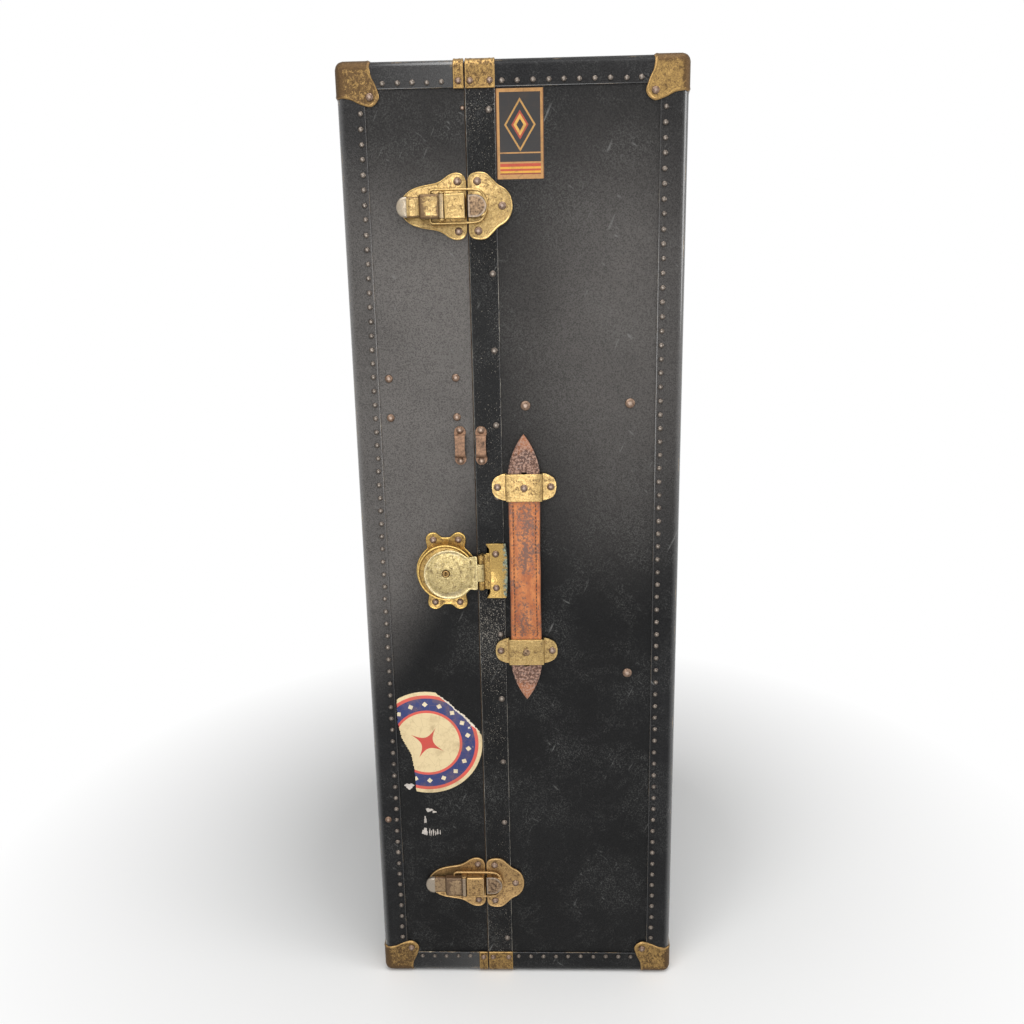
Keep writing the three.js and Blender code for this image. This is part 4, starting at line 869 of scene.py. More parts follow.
# The body's height and the wide half's left edge and width, in millimetres
body_high, wide_left, wide_width = 1029, -46.2, 217.7
for half, way, clamp_rivets in (("narrow", -1, (-5.7,)), ("wide", 1, (5.8, 25.))):
    spots = []
    for y, y_out in ((front, -1), (rear, 1)):
        for z, z_out in ((foot, -1), (crown, 1)):
            x_in, y_in, z_in = way * (right - cap_rivet), y - y_out * cap_rivet, z - z_out * cap_rivet
            spots.append(((x_in, y + y_out * .0027, z_in), (0, y_out, 0), 4., 2.))
            spots.append(((way * (right + .0027), y_in, z_in), (way, 0, 0), 4., 2.))
            if z_out > 0:
                spots.append(((x_in, y_in, z + .0027), (0, 0, 1), 4., 2.))
    for u in clamp_rivets:
        for v in (body_high - 19, 19):
            spots.append((on_front(u, v, 2.5), toward, 3.3, 1.8))
    for middle in hinge_middles:
        for z in (-24, 0, 24):
            spots.append(((seam + way * .024, rear + .002, (middle + z) / 1000), (0, 1, 0), 3.4, 1.6))
    plain = ([(-134.5, 683.4), (-64, 683.4), (-134.5, 724.8), (-64, 724.8)] if way < 0
             else [(wide_left + wide_width * across, 3 + body_high * up)
             for across, up in ((.252, .672), (.757, .673), (.757, .378))])
    for x, z in plain:
        spots.append(((x / 1000, front, z / 1000), toward, 4.3 if way < 0 else 5.4, 1.95))
    if way < 0:
        # A repairer's two odd nails, a large one in the left binding and a small one by the upper clamp
        spots += [(on_front(-113.5, 205.4, 1.4), toward, 4., 1.8),
                  (on_front(-2.6, 985.5, 0), toward, 2.2, 1.4)]
    rivets(half + "_rivets", spots, half + "_half")


# Draw latches: on the narrow half a stamped brass plate with a fixed box and two ears, a lever that
# turns on their pin, and a wire bail in the lever. On the wide half a strike with the tongue that
# the bail hooks over. The upper latch has kept its gilding, the lower one is browned
latch_brass = {"top": old_brass("stamped_brass_gilded", "#cdb077", "#967a4c", "#584330", .735, .28),
               "bottom": old_brass("stamped_brass_browned", "#c5a26e", "#967951", "#594433", .71, .46)}
# The levers' edges have kept their brown patina, thumbs have rubbed only the middle
lever_brass = {
    "top": old_brass("pressed_brass_browned_edges", "#cfb27a", "#967b50", "#564236", .76, .28, .34),
    "bottom": old_brass("pressed_brass_greyed_edges", "#b09674", "#887157", "#5b493c", .74, .32, .3)}
# The upper halves of three outlines, from the seam to the tip, as shares of their length and half height
latch_half = [(0, .74), (.03, .89), (.08, .975), (.14, 1), (.2, .985), (.27, .92), (.36, .79), (.46, .705),
              (.66, .63), (.79, .545), (.87, .44), (.93, .31), (.98, .15), (1, 0)]
strike_half = [(0, .76), (.03, .88), (.11, .965), (.27, 1), (.42, .955), (.55, .8), (.68, .63), (.83, .51),
               (.94, .34), (.99, .15), (1, 0)]
tongue_half = [(0, 1), (.45, 1), (.7, .86), (.88, .55), (.97, .26), (1, 0)]


def both_halves(half, start, length, height, fine=4):
    """The whole outline, counter-clockwise, from the upper half's shares of length and height."""
    upper = [(start + s * length, h * height) for s, h in half]
    line = smooth_line(upper + [(u, -v) for u, v in reversed(upper[:-1])], fine)
    area = sum(a.x * b.y - b.x * a.y for a, b in zip(line, line[1:] + line[:1]))
    return line if area > 0 else line[::-1]


def stamped(shape, outline, rings, place):
    """Adds a solid stamped from sheet: the outline drawn in by each ring's inset and set at its height,
    closed at both ends."""
    rim = layer(shape, "rim")
    count, loops, inwards = len(outline), [], []
    for i, point in enumerate(outline):
        before, after = (point - outline[i - 1]).normalized(), (outline[(i + 1) % count] - point).normalized()
        a, b = Vector((-before.y, before.x)), Vector((-after.y, after.x))
        inwards.append((a + b) / max(1 + a.dot(b), .6))
    for k, (inset, height) in enumerate(rings):
        loop = []
        for point, way in zip(outline, inwards):
            made = shape.verts.new(place(point.x + way.x * inset, point.y + way.y * inset, height))
            made[rim] = max(0., 1 - abs(inset - .9) / 1.4) if k else 0.
            loop.append(made)
        loops.append(loop)
    join_rings(shape, loops)


def block(shape, low, high, place, ease=.5, bare=0.):
    """Adds a block in millimetres with eased edges, and marks its edges as rim for the wear."""
    rim, worn = layer(shape, "rim"), layer(shape, "bare")
    low, high = Vector(low), Vector(high)
    raw = bmesh.new()
    cube(raw, (low + high) / 2, high - low)
    bmesh.ops.bevel(raw, geom=raw.edges[:], offset=ease, segments=2, profile=.5, affect="EDGES")
    flats = sorted(raw.faces, key=lambda f: -f.calc_area())[:6]
    edge = set(raw.verts)
    bmesh.ops.inset_individual(raw, faces=flats, thickness=min(1.2, min(high - low) / 4))
    made = {v: shape.verts.new(place(*v.co)) for v in raw.verts}
    for v, new in made.items():
        new[rim] = 1. if v in edge else 0.
        new[worn] = bare
    faces = [shape.faces.new([made[v] for v in f.verts]) for f in raw.faces]
    raw.free()
    bmesh.ops.recalc_face_normals(shape, faces=faces)


def wire(shape, path, radius, sides=12, bare=0.):
    """Adds a round wire along a path of points in metres, closed at both ends."""
    rim, worn = layer(shape, "rim"), layer(shape, "bare")
    side, rings = None, []
    for i, point in enumerate(path):
        ahead = (path[min(i + 1, len(path) - 1)] - path[max(i - 1, 0)]).normalized()
        side = (side or ahead.orthogonal()) - ahead * (side or ahead.orthogonal()).dot(ahead)
        side.normalize()
        up = ahead.cross(side)
        ring = []
        for turn in turns(sides):
            made = shape.verts.new(point + (side * math.cos(turn) + up * math.sin(turn)) * radius)
            made[worn], made[rim] = bare, .4
            ring.append(made)
        rings.append(ring)
    join_rings(shape, rings)


tongue_steel, tree, shader, at = new_material("browned_steel_worn_bright")
# Steel worn bright at its tip: a grey-brown tongue with rust in its pits
rim = add(tree, "Attribute", attribute_name="rim")
pits = add(tree, "TexNoise", at, Scale=380., Detail=5., Roughness=.7)
colour = tint("#46362d", "#a58a6c", pits, .38, .62)
colour = tint(colour, "#c0b8ac", rim, .2, 1., .45)
rough = add(tree, "MapRange", pits, .35, .65, .28, .5)
bump = add(tree, "Bump", Strength=.2, Distance=.0004, Height=pits)
feed(shader, Base_Color=colour, Metallic=.9, Roughness=rough, Normal=bump)

latch_up = {"top": 893, "bottom": 122}
sheet_rings = [(0, 0), (0, 1.3), (.3, 1.75), (.9, 2.), (1.5, 1.75), (2.2, 1.45)]
pivot_in, pivot_off = -25.5, 11.
tongues = bmesh.new()
for end, up in latch_up.items():
    def place(u, v, w, up=up):
        return on_front(u, up + v, w)

    def on_side(u, w, v, up=up):
        return on_front(u, up + v, w)

    def on_pivot(x, y, h, up=up):
        return on_front(pivot_in + x, up + h, pivot_off + y)

    shape = bmesh.new()
    stamped(shape, both_halves(latch_half, -.8, -69, 32.5), [(i, .3 + h) for i, h in sheet_rings], place)
    block(shape, (-22.2, -11.9, 1.7), (-2.2, 11.9, 11.7), place, 1.)
    block(shape, (-3.6, -11.9, 10.5), (-2.2, 11.9, 12.4), place, .45, bare=.5)
    block(shape, (-22.4, -11.9, 10.9), (-21, 11.9, 12.1), place, .4)
    for side in (-1, 1):
        ear = [Vector(p) for p in ((-28.5, 1.7), (-22.5, 1.7), (-22.5, 9.6))]
        ear += [Vector((pivot_in + 3 * math.cos(math.pi * k / 8), 9.6 + 3.6 * math.sin(math.pi * k / 8)))
                for k in range(1, 8)] + [Vector((-28.5, 9.6))]
        stamped(shape, ear, [(.25, side * 12.2), (0, side * 12.45), (0, side * 13.35), (.25, side * 13.6)],
                on_side)
    lathe(shape, [(0, -14.2), (1.2, -14.2), (1.7, -13.8), (1.7, -13.6), (1.1, -13.6), (1.1, 13.6),
        (1.7, 13.6), (1.7, 13.8), (1.2, 14.2), (0, 14.2)], on_pivot, 16)
    add_piece("latch_base_" + end, shape, latch_brass[end], "narrow_half", ["latch_plate_" + end],
              crease=45)
    rivets("latch_base_rivets_" + end, [(place(-9.5, s * 24, 1.6), toward, 4.1, 1.9) for s in (-1, 1)],
           "narrow_half")

    # Lever: a cover with rolled sides, a low neck and a thumb tip, pressed from one blank
    shape = bmesh.new()
    bare = layer(shape, "bare")

    def half_width(d):
        if d < 47.6:
            return 11.7
        if d < 48.6:
            return 11.7 - 2.3 * (d - 47.6)
        if d < 63:
            return 9.4 + .4 * min(1, (d - 48.6) / 9)
        return max(.2, 9.8 * math.sqrt(max(0, 1 - ((d - 63) / 8.4) ** 2)))

    def lever_point(a, b, off, place=place):
        return place(-b, a / 10 * half_width(b), off)

    def lever_top(a, b):
        edge = (10 - abs(a)) / 10 * half_width(b)
        roll = -1.1 * math.exp(-(edge / .9) ** 2)
        if b < 47.8:
            front_roll = -1.8 * math.exp(-((47.8 - b) / .9) ** 2) - 1.2 * math.exp(-((b - 27.5) / .7) ** 2)
            return 12.2 + roll + front_roll - .35 * math.exp(-((edge - 3.1) / .8) ** 2)
        if b < 58.5:
            fold = .9 * math.exp(-((b - 48.2) / .5) ** 2) - .35 * math.exp(-((b - 53) / 1.6) ** 2)
            return 7.4 + roll * .5 + fold
        rise = 7.4 + 1.4 * min(1, (b - 58.5) / 2.2)
        return rise + roll * .8 - 1.6 * max(0, (b - 64) / 7.4) ** 2

    along = [27.5, 27.9, 28.5, 29.5, 32, 35, 38, 41, 44, 45.8, 46.6, 47.2, 47.7, 48.2, 48.7, 49.4, 51, 52, 53,
             54, 55, 57, 58.4, 59.2, 60, 61, 63, 65, 67, 68.5, 69.6, 70.4, 70.9, 71.2, 71.38]
    pressed_sheet(shape, steps(-10, 10, 1.3, (.3, .8, 1.6, 2.4, 3.2)), along, lever_point, 4.4, lever_top)
    for vert in shape.verts:
        inwards, off_middle = (seam - vert.co.x) * 1000, abs((vert.co.z - foot) * 1000 - up)
        if inwards < 48:
            to_edge = min(inwards - 27.5, (47.8 - inwards) / 2.4, half_width(inwards) - off_middle)
            vert[layer(shape, "rim")] = max(0, 1 - to_edge / 3.6)
        vert[bare] = .78 if inwards > 60.5 else .15 if inwards < 48 else .1
    lathe(shape, [(0, -11.7), (2., -11.7), (2.3, -11.4), (2.3, 11.4), (2., 11.7), (0, 11.7)], on_pivot, 20)
    for vert in shape.verts:
        if (vert.co - on_front(pivot_in, vert.co.z * 1000 - 3, pivot_off)).length < .0025:
            vert[bare] = .6
    block(shape, (-28.1, -11.7, 9.85), (-25.5, 11.7, 12.2), place, .4, bare=.5)
    add_piece("latch_lever_pressed_" + end, shape, lever_brass[end], "lever_" + end,
              ["latch_lever_" + end], crease=40)

    # Bail: 2.5 mm brass wire, its ends turned into the lever, bent to a round point over the tongue
    tip, side = 19.4, 16.1
    arm = [(-37.5, 6.7), (-37.5, 9.5), (-37.5, 12.6), (-37.1, 14.4), (-36.1, 15.5), (-34.2, side),
           (-26, side), (-12, side), (-1, 16.05), (tip * .4, side * .97), (tip * .66, side * .88),
           (tip * .84, side * .66), (tip * .95, side * .36), (tip, 0)]
    bend = smooth_line(arm + [(u, -v) for u, v in reversed(arm[:-1])], 4)
    shape = bmesh.new()
    wire(shape, [place(p.x, p.y, 6) for p in bend], .00125, 12, bare=.2)
    add_piece("latch_bail_wire_" + end, shape, latch_brass[end], "bail_" + end,
              ["latch_bail_" + end])

    shape = bmesh.new()
    stamped(shape, both_halves(strike_half, .8, 44.4, 32.7), [(i, 1.8 + h) for i, h in sheet_rings], place)
    block(shape, (.8, -9.6, 3.1), (17.6, 9.6, 7.8), place, .5)
    add_piece("latch_strike_" + end, shape, latch_brass[end], "wide_half", ["strike_" + end],
              crease=45)
    stamped(tongues, both_halves(tongue_half, .8, 18.8, 10.9),
            [(.3, 7.6), (0, 7.9), (0, 8.9), (.35, 9.3), (1.2, 9.35), (2.6, 9.2)], place)
    rivets("latch_strike_rivets_" + end, [(place(10.4, s * 23.8, 3.2), toward, 4.1, 1.9) for s in (-1, 1)]
           + [(place(35, 0, 3.2), toward, 4.1, 1.9)], "wide_half")
add_piece("strike_tongues", tongues, tongue_steel, "wide_half", crease=45)


# Lock: a turned brass case on a plate with four riveted lobes, a key plug in its middle, and a hasp
# whose domed disc drops over the plug. The hasp turns on a pin in its own leaf across the seam
lock_brass = old_brass("spun_brass_worn", "#d2b067", "#98794a", "#5a4430", .71, .3)
lock_middle, lock_up = -34., 510.5


def star(shape, outline, rings, place, closed=False):
    """Adds a solid of rings round a middle: each a share of the outline's radii, an offset and a height.
    Closed joins the last ring to the first."""
    rim = layer(shape, "rim")
    loops = []
    for share, offset, height in rings:
        pole = share == 0 and offset == 0
        loop = []
        for radius, turn in zip(outline[:1] if pole else outline, turns(len(outline))):
            r = share * radius + offset
            made = shape.verts.new(place(r * math.cos(turn), r * math.sin(turn), height))
            made[rim] = 1. if share == 1 and -1.8 < offset < -.2 else 0.
            loop.append(made)
        loops.append(loop)
    join_rings(shape, loops, closed)


def eased(radii, share):
    """An outline's radii, averaged twice with both neighbours, which count for this share each. It rounds the
    inner corners."""
    for _ in range(2):
        radii = [share * (before + after) + (1 - 2 * share) * here
                 for before, here, after in zip(radii[-1:] + radii[:-1], radii, radii[1:] + radii[:1])]
    return radii


def lock_place(x, y, w):
    """A point in millimetres from the middle of the lock's case, w out of the face."""
    return on_front(lock_middle + x, lock_up + y, w)


# The plate's outline is the furthest of a round, a straight neck above and below it, and four lobes
lobes = [(sx * 13.7, sy * 35.6) for sx in (-1, 1) for sy in (-1, 1)]
plate_radii = []
for turn in turns(180):
    way = Vector((math.cos(turn), math.sin(turn)))
    reach = [33.4]
    if abs(way.y) > .8:
        reach.append(min(38.4 / abs(way.y), 14.5 / max(abs(way.x), 1e-6)))
    for lobe in lobes:
        along, off = way.dot(Vector(lobe)), abs(way.x * lobe[1] - way.y * lobe[0])
        if along > 0 and off < 8.6:
            reach.append(along + math.sqrt(8.6 ** 2 - off ** 2))
    plate_radii.append(max(reach))
shape = bmesh.new()
plate_rings = [(0, 0, .3), (1, 0, .3), (1, 0, 1.5), (1, -.3, 1.95), (1, -.9, 2.2), (1, -1.6, 2.),
               (1, -2.4, 1.75), (0, 0, 1.75)]
star(shape, eased(plate_radii, .25), plate_rings, lock_place)
lathe(shape, [(0, .5), (31.7, .5), (31.7, 8.4), (31.5, 8.95), (31., 9.2), (30., 9.2), (29.7, 9.), (29.5, 8.1),
    (29.1, 7.9), (28.8, 8.1), (28.6, 8.8), (28.2, 9.), (4.4, 9.), (4.2, 8.8), (4.2, 3.1), (0, 3.1)],
    lock_place, 96, (3, 4, 5, 6))
add_piece("lock_case_spun", shape, lock_brass, "narrow_half", ["lock_case"], crease=40)
rivets("lock_rivets", [(lock_place(x, y, 1.5), toward, 4., 1.9) for x, y in lobes], "narrow_half")

# Plug: a brass key post with a slot for the key, turning in the case
shape = bmesh.new()
slot_half, slot_side = 2.5, .8
lathe(shape, [(0, 3.6), (3.7, 3.6), (3.7, 12.4), (3.4, 12.9), (2.9, 13.), (2.6, 12.9), (0, 12.9)], lock_place,
      40, (3, 4))
plug = add_piece("lock_plug_post", shape, cap_brass, None, crease=40)
cutter_shape = bmesh.new()
block(cutter_shape, (-slot_side, -slot_half, 9.), (slot_side, slot_half, 14), lock_place, .15)
cutter = add_piece("key_slot", cutter_shape, lock_brass)
cut = plug.modifiers.new("key_slot", "BOOLEAN")
cut.operation, cut.object, cut.solver = "DIFFERENCE", cutter, "EXACT"
solid = bpy.data.meshes.new_from_object(plug.evaluated_get(bpy.context.evaluated_depsgraph_get()))
plug.modifiers.clear()
plug.data = solid
bpy.data.objects.remove(cutter)
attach(plug, "plug")
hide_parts("lock_plug")

# Hasp: silvered and rubbed, domed over the case, its neck drawn in by two fillets to the hinge
hasp_metal = old_brass("pressed_brass_silvered", "#cdbb8c", "#93804f", "#5f4d38", .75, .33)
disc_middle, disc_radius, neck_end = Vector((3.4, -1.6)), 27.9, 34.4
hasp_radii = []
for turn in turns(180):
    way = Vector((math.cos(turn), math.sin(turn)))
    aside = way.x * disc_middle.y - way.y * disc_middle.x
    reach = way.dot(disc_middle) + math.sqrt(disc_radius ** 2 - aside ** 2)
    # The neck is 36 mm wide and flares to 41 mm at the hinge
    for run in (neck_end - .4 * n for n in range(40)):
        if way.x > 0 and abs(way.y) * run <= way.x * (17.9 + 2.7 * max(0, (run - 25) / 9.4) ** 2):
            reach = max(reach, run / way.x)
            break
    hasp_radii.append(reach)
shape = bmesh.new()
hasp_rings = [(1, 0, 9.7), (1, 0, 10.6), (1, -.25, 10.9), (1, -.9, 11.), (1, -1.7, 10.9), (1, -2.6, 10.75),
              (.83, 0, 10.7), (.79, 0, 11.05), (.76, 0, 11.2), (.6, 0, 11.45), (.4, 0, 11.6), (.25, 0, 11.65),
              (0, 6, 11.7), (0, 4.6, 11.6), (0, 4.3, 11.3), (0, 4.3, 9.7)]
star(shape, eased(hasp_radii, .2), hasp_rings, lock_place, closed=True)


def knuckle_axis(x, y, h):
    """A point in millimetres from the middle of the hasp's pin, h along it."""
    return on_front(4.6 + x, lock_up + h, 7.2 + y)


def lock_row(u, v, w):
    """A point in millimetres from the seam at the lock's height."""
    return on_front(u, lock_up + v, w)


lathe(shape, [(2., -9.7), (3.4, -9.7), (3.6, -9.5), (3.6, 9.5), (3.4, 9.7), (2., 9.7)], knuckle_axis, 28)
block(shape, (-.4, -9.7, 9.4), (4.6, 9.7, 10.8), lock_row, .3)
bare = layer(shape, "bare")
for vert in shape.verts:
    off = (vert.co - lock_place(0, 0, 11)) * 1000
    away = math.hypot(off.x, off.z)
    on_rim = 22.4 < away < 29.5 and off.x < 16
    vert[bare] = .55 if on_rim else .5 * math.exp(-(((off.x + 9) / 15) ** 2 + ((off.z - 9) / 15) ** 2))
add_piece("lock_hasp_pressed", shape, hasp_metal, "hasp", ["lock_hasp"], crease=40)

# Leaf: a flared plate with two knuckles, bright where the hasp rubs and crusted blue-green with
# verdigris along the edge beside the handle
leaf_brass = old_brass("stamped_brass_with_verdigris", "#c9a865", "#90723f", "#574230", .7, .32)
tree = leaf_brass.node_tree
shader = tree.nodes["Principled BSDF"]
at = tree.nodes["Texture Coordinate"].outputs["Object"]
where = add(tree, "SeparateXYZ", at)
near = add(tree, "MapRange", where.outputs["X"], seam + .0235, seam + .0335)
crust = add(tree, "TexNoise", at, Scale=190., Detail=5., Roughness=.7)
crust = add(tree, "Math", near, .42, crust, operation="MULTIPLY_ADD")
crust = add(tree, "MapRange", crust, .74, .84)
painted_glare_and_salt_bloom = add(tree, "TexNoise", at, Scale=420., Detail=3.)
salt = tint("#3d4c49", "#9aa592", painted_glare_and_salt_bloom, .4, .6)
old = shader.inputs["Base Color"].links[0].from_socket
colour = tint(old, salt, crust)
metal = add(tree, "MapRange", crust, To_Min=.9, To_Max=.1)
feed(shader, Base_Color=colour, Metallic=metal)
outline = [Vector(p) for p in ((9.8, -30.6), (10.4, -31.2), (31.2, -31.2), (31.9, -28), (32.9, -15),
    (33.1, 0), (32.9, 15), (31.9, 28), (31.2, 31.2), (10.4, 31.2), (9.8, 30.6), (10.9, 28.6), (12.9, 25.2),
    (13.2, 23.6), (13.2, -23.6), (12.9, -25.2), (10.9, -28.6))]
shape = bmesh.new()
stamped(shape, outline, [(0, 1.8), (0, 3.), (.2, 3.4), (.5, 3.6), (.9, 3.4), (1.1, 3.25)], lock_row)
block(shape, (9.8, -20.6, 1.9), (15, 20.6, 3.4), lock_row, .4)
block(shape, (3.4, -19.6, 1.9), (12, 19.6, 3.3), lock_row, .3)
for low, high in ((-19.5, -10.2), (10.2, 19.5)):
    lathe(shape, [(1.5, low), (3.4, low), (3.6, low + .2), (3.6, high - .2), (3.4, high), (1.5, high)],
          knuckle_axis, 28)
    block(shape, (4.6, low, 1.9), (10.6, high, 5.2), lock_row, .3)
    block(shape, (5.5, low, 3.4), (11.5, high, 4.6), lock_row, .5)
lathe(shape, [(0, -20.2), (1., -20.2), (1.5, -19.8), (1.5, 19.8), (1., 20.2), (0, 20.2)], knuckle_axis, 16)
bare = layer(shape, "bare")
for vert in shape.verts:
    vert[bare] = .35 if vert.co.x < seam + .0092 else 0.
add_piece("hasp_leaf_stamped", shape, leaf_brass, "wide_half", ["hasp_leaf"], crease=45)
rivets("hasp_leaf_rivets", [(lock_row(20.2, s * 19.4, 2.9), toward, 4., 1.9) for s in (-1, 1)], "wide_half")


# Footman loops: two strips of steel bent into a bridge for a cord round the trunk, one on each
# side of the seam, rusted evenly brown under the last of their black paint
rusty_steel, tree, shader, at = new_material("bent_steel_rusted_brown")
# Rust: a matt red-brown skin with darker pits and a few flakes of black paint left
rim = add(tree, "Attribute", attribute_name="rim")
skin = add(tree, "TexNoise", at, Scale=260., Detail=6., Roughness=.72)
colour = tint("#5f483a", "#b08a6e", skin, .35, .65)
paint = add(tree, "TexNoise", at, Scale=120., Detail=4., Roughness=.7)
paint = add(tree, "Math", rim, -.12, paint, operation="MULTIPLY_ADD")
colour = tint(colour, "#33261f", paint, .6, .68, .85)
rough = add(tree, "MapRange", skin, .3, .7, .42, .7)
bump = add(tree, "Bump", Strength=.4, Distance=.0005, Height=skin)
feed(shader, Base_Color=colour, Metallic=.6, Roughness=rough, Normal=bump)


def bent(profile):
    """The run at each point of a bent strip's profile, and a function that gives the place of a height over a
    run."""
    marks, outs = [0.], []
    for i, point in enumerate(profile):
        before, after = (point - profile[max(i - 1, 0)]), (profile[min(i + 1, len(profile) - 1)] - point)
        a = (before if before.length else after).normalized()
        b = (after if after.length else before).normalized()
        normal = Vector((-a.y - b.y, a.x + b.x))
        outs.append(normal / max(1 + a.dot(b), .5))
        if i:
            marks.append(marks[-1] + before.length)

    def over(b, off):
        k = min(range(len(marks)), key=lambda i: abs(marks[i] - b))
        return profile[k] + outs[k] * off
    return marks, over


loop_up = body_high * .6317
# Half of a loop from the side: each point's distance from the middle and its height off the trunk
loop_line = [(20.6, 0), (20.2, 0), (19.2, 0), (16.8, 0), (13.6, 0), (12.2, .35), (10.7, 2.7), (9.5, 5.),
             (8., 5.6), (3, 5.6), (0, 5.6)]
marks, over = bent(smooth_line([(-v, off) for v, off in loop_line]
    + [(v, off) for v, off in reversed(loop_line[:-1])], 3))
for half, middle, base in (("narrow", -14.8, .3), ("wide", 7.7, 1.8)):
    shape = bmesh.new()

    def surface(a, b, off, middle=middle, base=base):
        spot = over(b, off)
        # Round ends about the rivets and a narrower bow between them
        past = max(0, abs(spot.x) - 14.4) / 6.3
        a *= max(.2, math.sqrt(max(0, 1 - past ** 2))) * (1 - .16 * max(0, 1 - abs(spot.x) / 12.5) ** .3)
        return on_front(middle + a, loop_up + spot.x, base + spot.y)

    pressed_sheet(shape, steps(-6.1, 6.1, 3, (.25, .7)), marks, surface, 0,
                  lambda a, b: 1.35 if abs(a) == 6.1 else 1.6)
    add_piece("footman_loop_" + half + "_bent", shape, rusty_steel, half + "_half",
              ["footman_loop_" + half], crease=45)
    rivets("footman_loop_rivets_" + half,
           [(on_front(middle, loop_up + s * 16.6, base + 1.3), toward, 3.9, 1.8) for s in (-1, 1)],
           half + "_half")


# Handle loops: brass strip bent over each end of the strap, with rounded wings riveted to the
# trunk and a rivet through the bridge, which the strap's slot slides along
handle_out, handle_up, loop_off = 52.5, 511., 93.5
bridge = [(-30, 1.8), (-24, 1.8), (-20.5, 1.8), (-18.6, 2.), (-18.2, 3.2), (-18.2, 6.4), (-17.8, 7.5),
          (-16.6, 7.8), (-9, 7.8), (0, 7.8)]
wing_end = [-34.4, -34.2, -33.7, -32.9, -31.6]
line = [Vector((u, 1.8)) for u in wing_end] + [Vector(p) for p in bridge]
marks, over = bent(line + [Vector((-p.x, p.y)) for p in reversed(line[:-1])])
for end, way in (("top", 1), ("bottom", -1)):
    shape = bmesh.new()
    centre_up = handle_up + way * loop_off

    def wing(a, b, off, centre_up=centre_up):
        spot = over(b, off)
        reach = min(abs(spot.x) / 34.45, 1)
        half = 15. if reach < .58 else max(.3, 15. * (1 - ((reach - .5) / .5) ** 2.4) ** (1 / 2.4))
        return on_front(handle_out + spot.x, centre_up - a / 10 * half, spot.y)

    pressed_sheet(shape, steps(-10, 10, 2.5, (.2, .5, .9)), marks, wing, 0,
                  lambda a, b: 1.5 if abs(a) == 10 else 1.8)
    lathe(shape, [(0, 1.9), (2.2, 1.9), (2.2, 8.2), (0, 8.2)],
          lambda x, y, w, up=centre_up: on_front(handle_out + x, up + y, w), 16)
    add_piece("handle_loop_" + end + "_bent", shape, latch_brass["top"], "wide_half",
              ["handle_loop_" + end], crease=45)
    rivets("handle_loop_rivets_" + end,
           [(on_front(handle_out + s * 28.6, centre_up, 3.2), toward, 4.2, 1.9) for s in (-1, 1)],
           "wide_half")
    rivets("handle_loop_stud_" + end, [(on_front(handle_out, centre_up, 9.2), toward, 4.2, 2.)], "wide_half",
           rivet_steel if way > 0 else tongue_steel)

# Strap: bridle leather in two layers, stitched 5 mm from its edges, tan where hands have kept it
# and nearly black on its pointed ends. A flat strap, so it is modelled directly and not simulated
strap_leather, tree, shader, at = new_material("bridle_leather_stitched")
# Bridle leather: waxed tan with fine pores and a satin gloss, dark rubbed edges, near-black worn ends
painted = {name: add(tree, "Attribute", attribute_name=name) for name in ("rim", "dark", "scuff", "tip")}
stretched = add(tree, "Mapping", at, Scale=(1., 1., .45))
cloud = add(tree, "TexNoise", stretched, Scale=130., Detail=6., Roughness=.7)
pores = add(tree, "TexVoronoi", at, Scale=1500.)
fine = add(tree, "TexNoise", at, Scale=700., Detail=4., Roughness=.7)
colour = tint("#a3562b", "#d3854b", cloud, .34, .66)
edge = add(tree, "Math", painted["rim"], .85, operation="MULTIPLY")
colour = tint(colour, "#4a2417", edge)
mottle = add(tree, "TexNoise", at, Scale=380., Detail=4., Roughness=.75)
stains = add(tree, "TexNoise", stretched, Scale=85., Detail=5., Roughness=.75)
stains = add(tree, "Math", mottle, 2., stains, operation="MULTIPLY_ADD")
for name, low, high, shade in (("scuff", 1.9, 2.14, "#624c45"), ("dark", .8, 1.3, "#271c1c"),
        ("tip", 1.1, 1.3, "#a5663f")):
    cloudy = stains if name == "scuff" else cloud
    mask = add(tree, "Math", cloudy, 1.2, painted[name], operation="MULTIPLY_ADD")
    colour = tint(colour, shade, mask, low, high, .86)
# The dark ends are mottled grey and brown, with fine pale scratches across them
worn = add(tree, "MapRange", mottle, .48, .57, To_Max=.85)
worn = add(tree, "Math", worn, painted["dark"], operation="MULTIPLY")
colour = tint(colour, "#b48e7a", worn)
lines = add(tree, "Mapping", at, Rotation=(0, .9, 0), Scale=(220., 220., 900.))
lines = add(tree, "TexNoise", lines, Scale=1., Detail=3.)
lines = add(tree, "MapRange", lines, .6, .7, To_Max=.55)
lines = add(tree, "Math", lines, painted["dark"], operation="MULTIPLY")
colour = tint(colour, "#a3938c", lines)
rough = add(tree, "MapRange", cloud, .3, .7, .36, .54)
bump = add(tree, "Bump", Strength=.25, Distance=.0002, Height=pores)
bump = add(tree, "Bump", Strength=.3, Distance=.0005, Height=fine, Normal=bump)
feed(shader, Base_Color=colour, Roughness=rough, Normal=bump)
waxed_thread, tree, shader, at = new_material("waxed_linen_thread")
# Waxed linen: near-black brown cord with a fine twist, drawn at 0.8 mm
twist = add(tree, "TexWave", at, bands_direction="DIAGONAL", Scale=420.)
colour = tint("#1e1512", "#43302a", twist)
feed(shader, Base_Color=colour, Roughness=.6)

grip_end, flex_end, strap_half, shoulder, point = 56.65, 74.35, 17., 107.5, 150.5
# The leather starts to bend 14 mm from its middle, where the grip piece ends
bend_from = 14.


def strap_lift(v):
    """How far the strap's underside stands off the trunk, and its thickness, at a distance from its
    middle."""
    v = abs(v)
    if v <= grip_end:
        return 8.3 - 2.2 * (v / 56.5) ** 2, 5.6
    share = min(1, (v - grip_end) / (flex_end - grip_end))
    share = share * share * (3 - 2 * share)
    return 6.1 - 3.6 * share, 5.6 - .8 * share


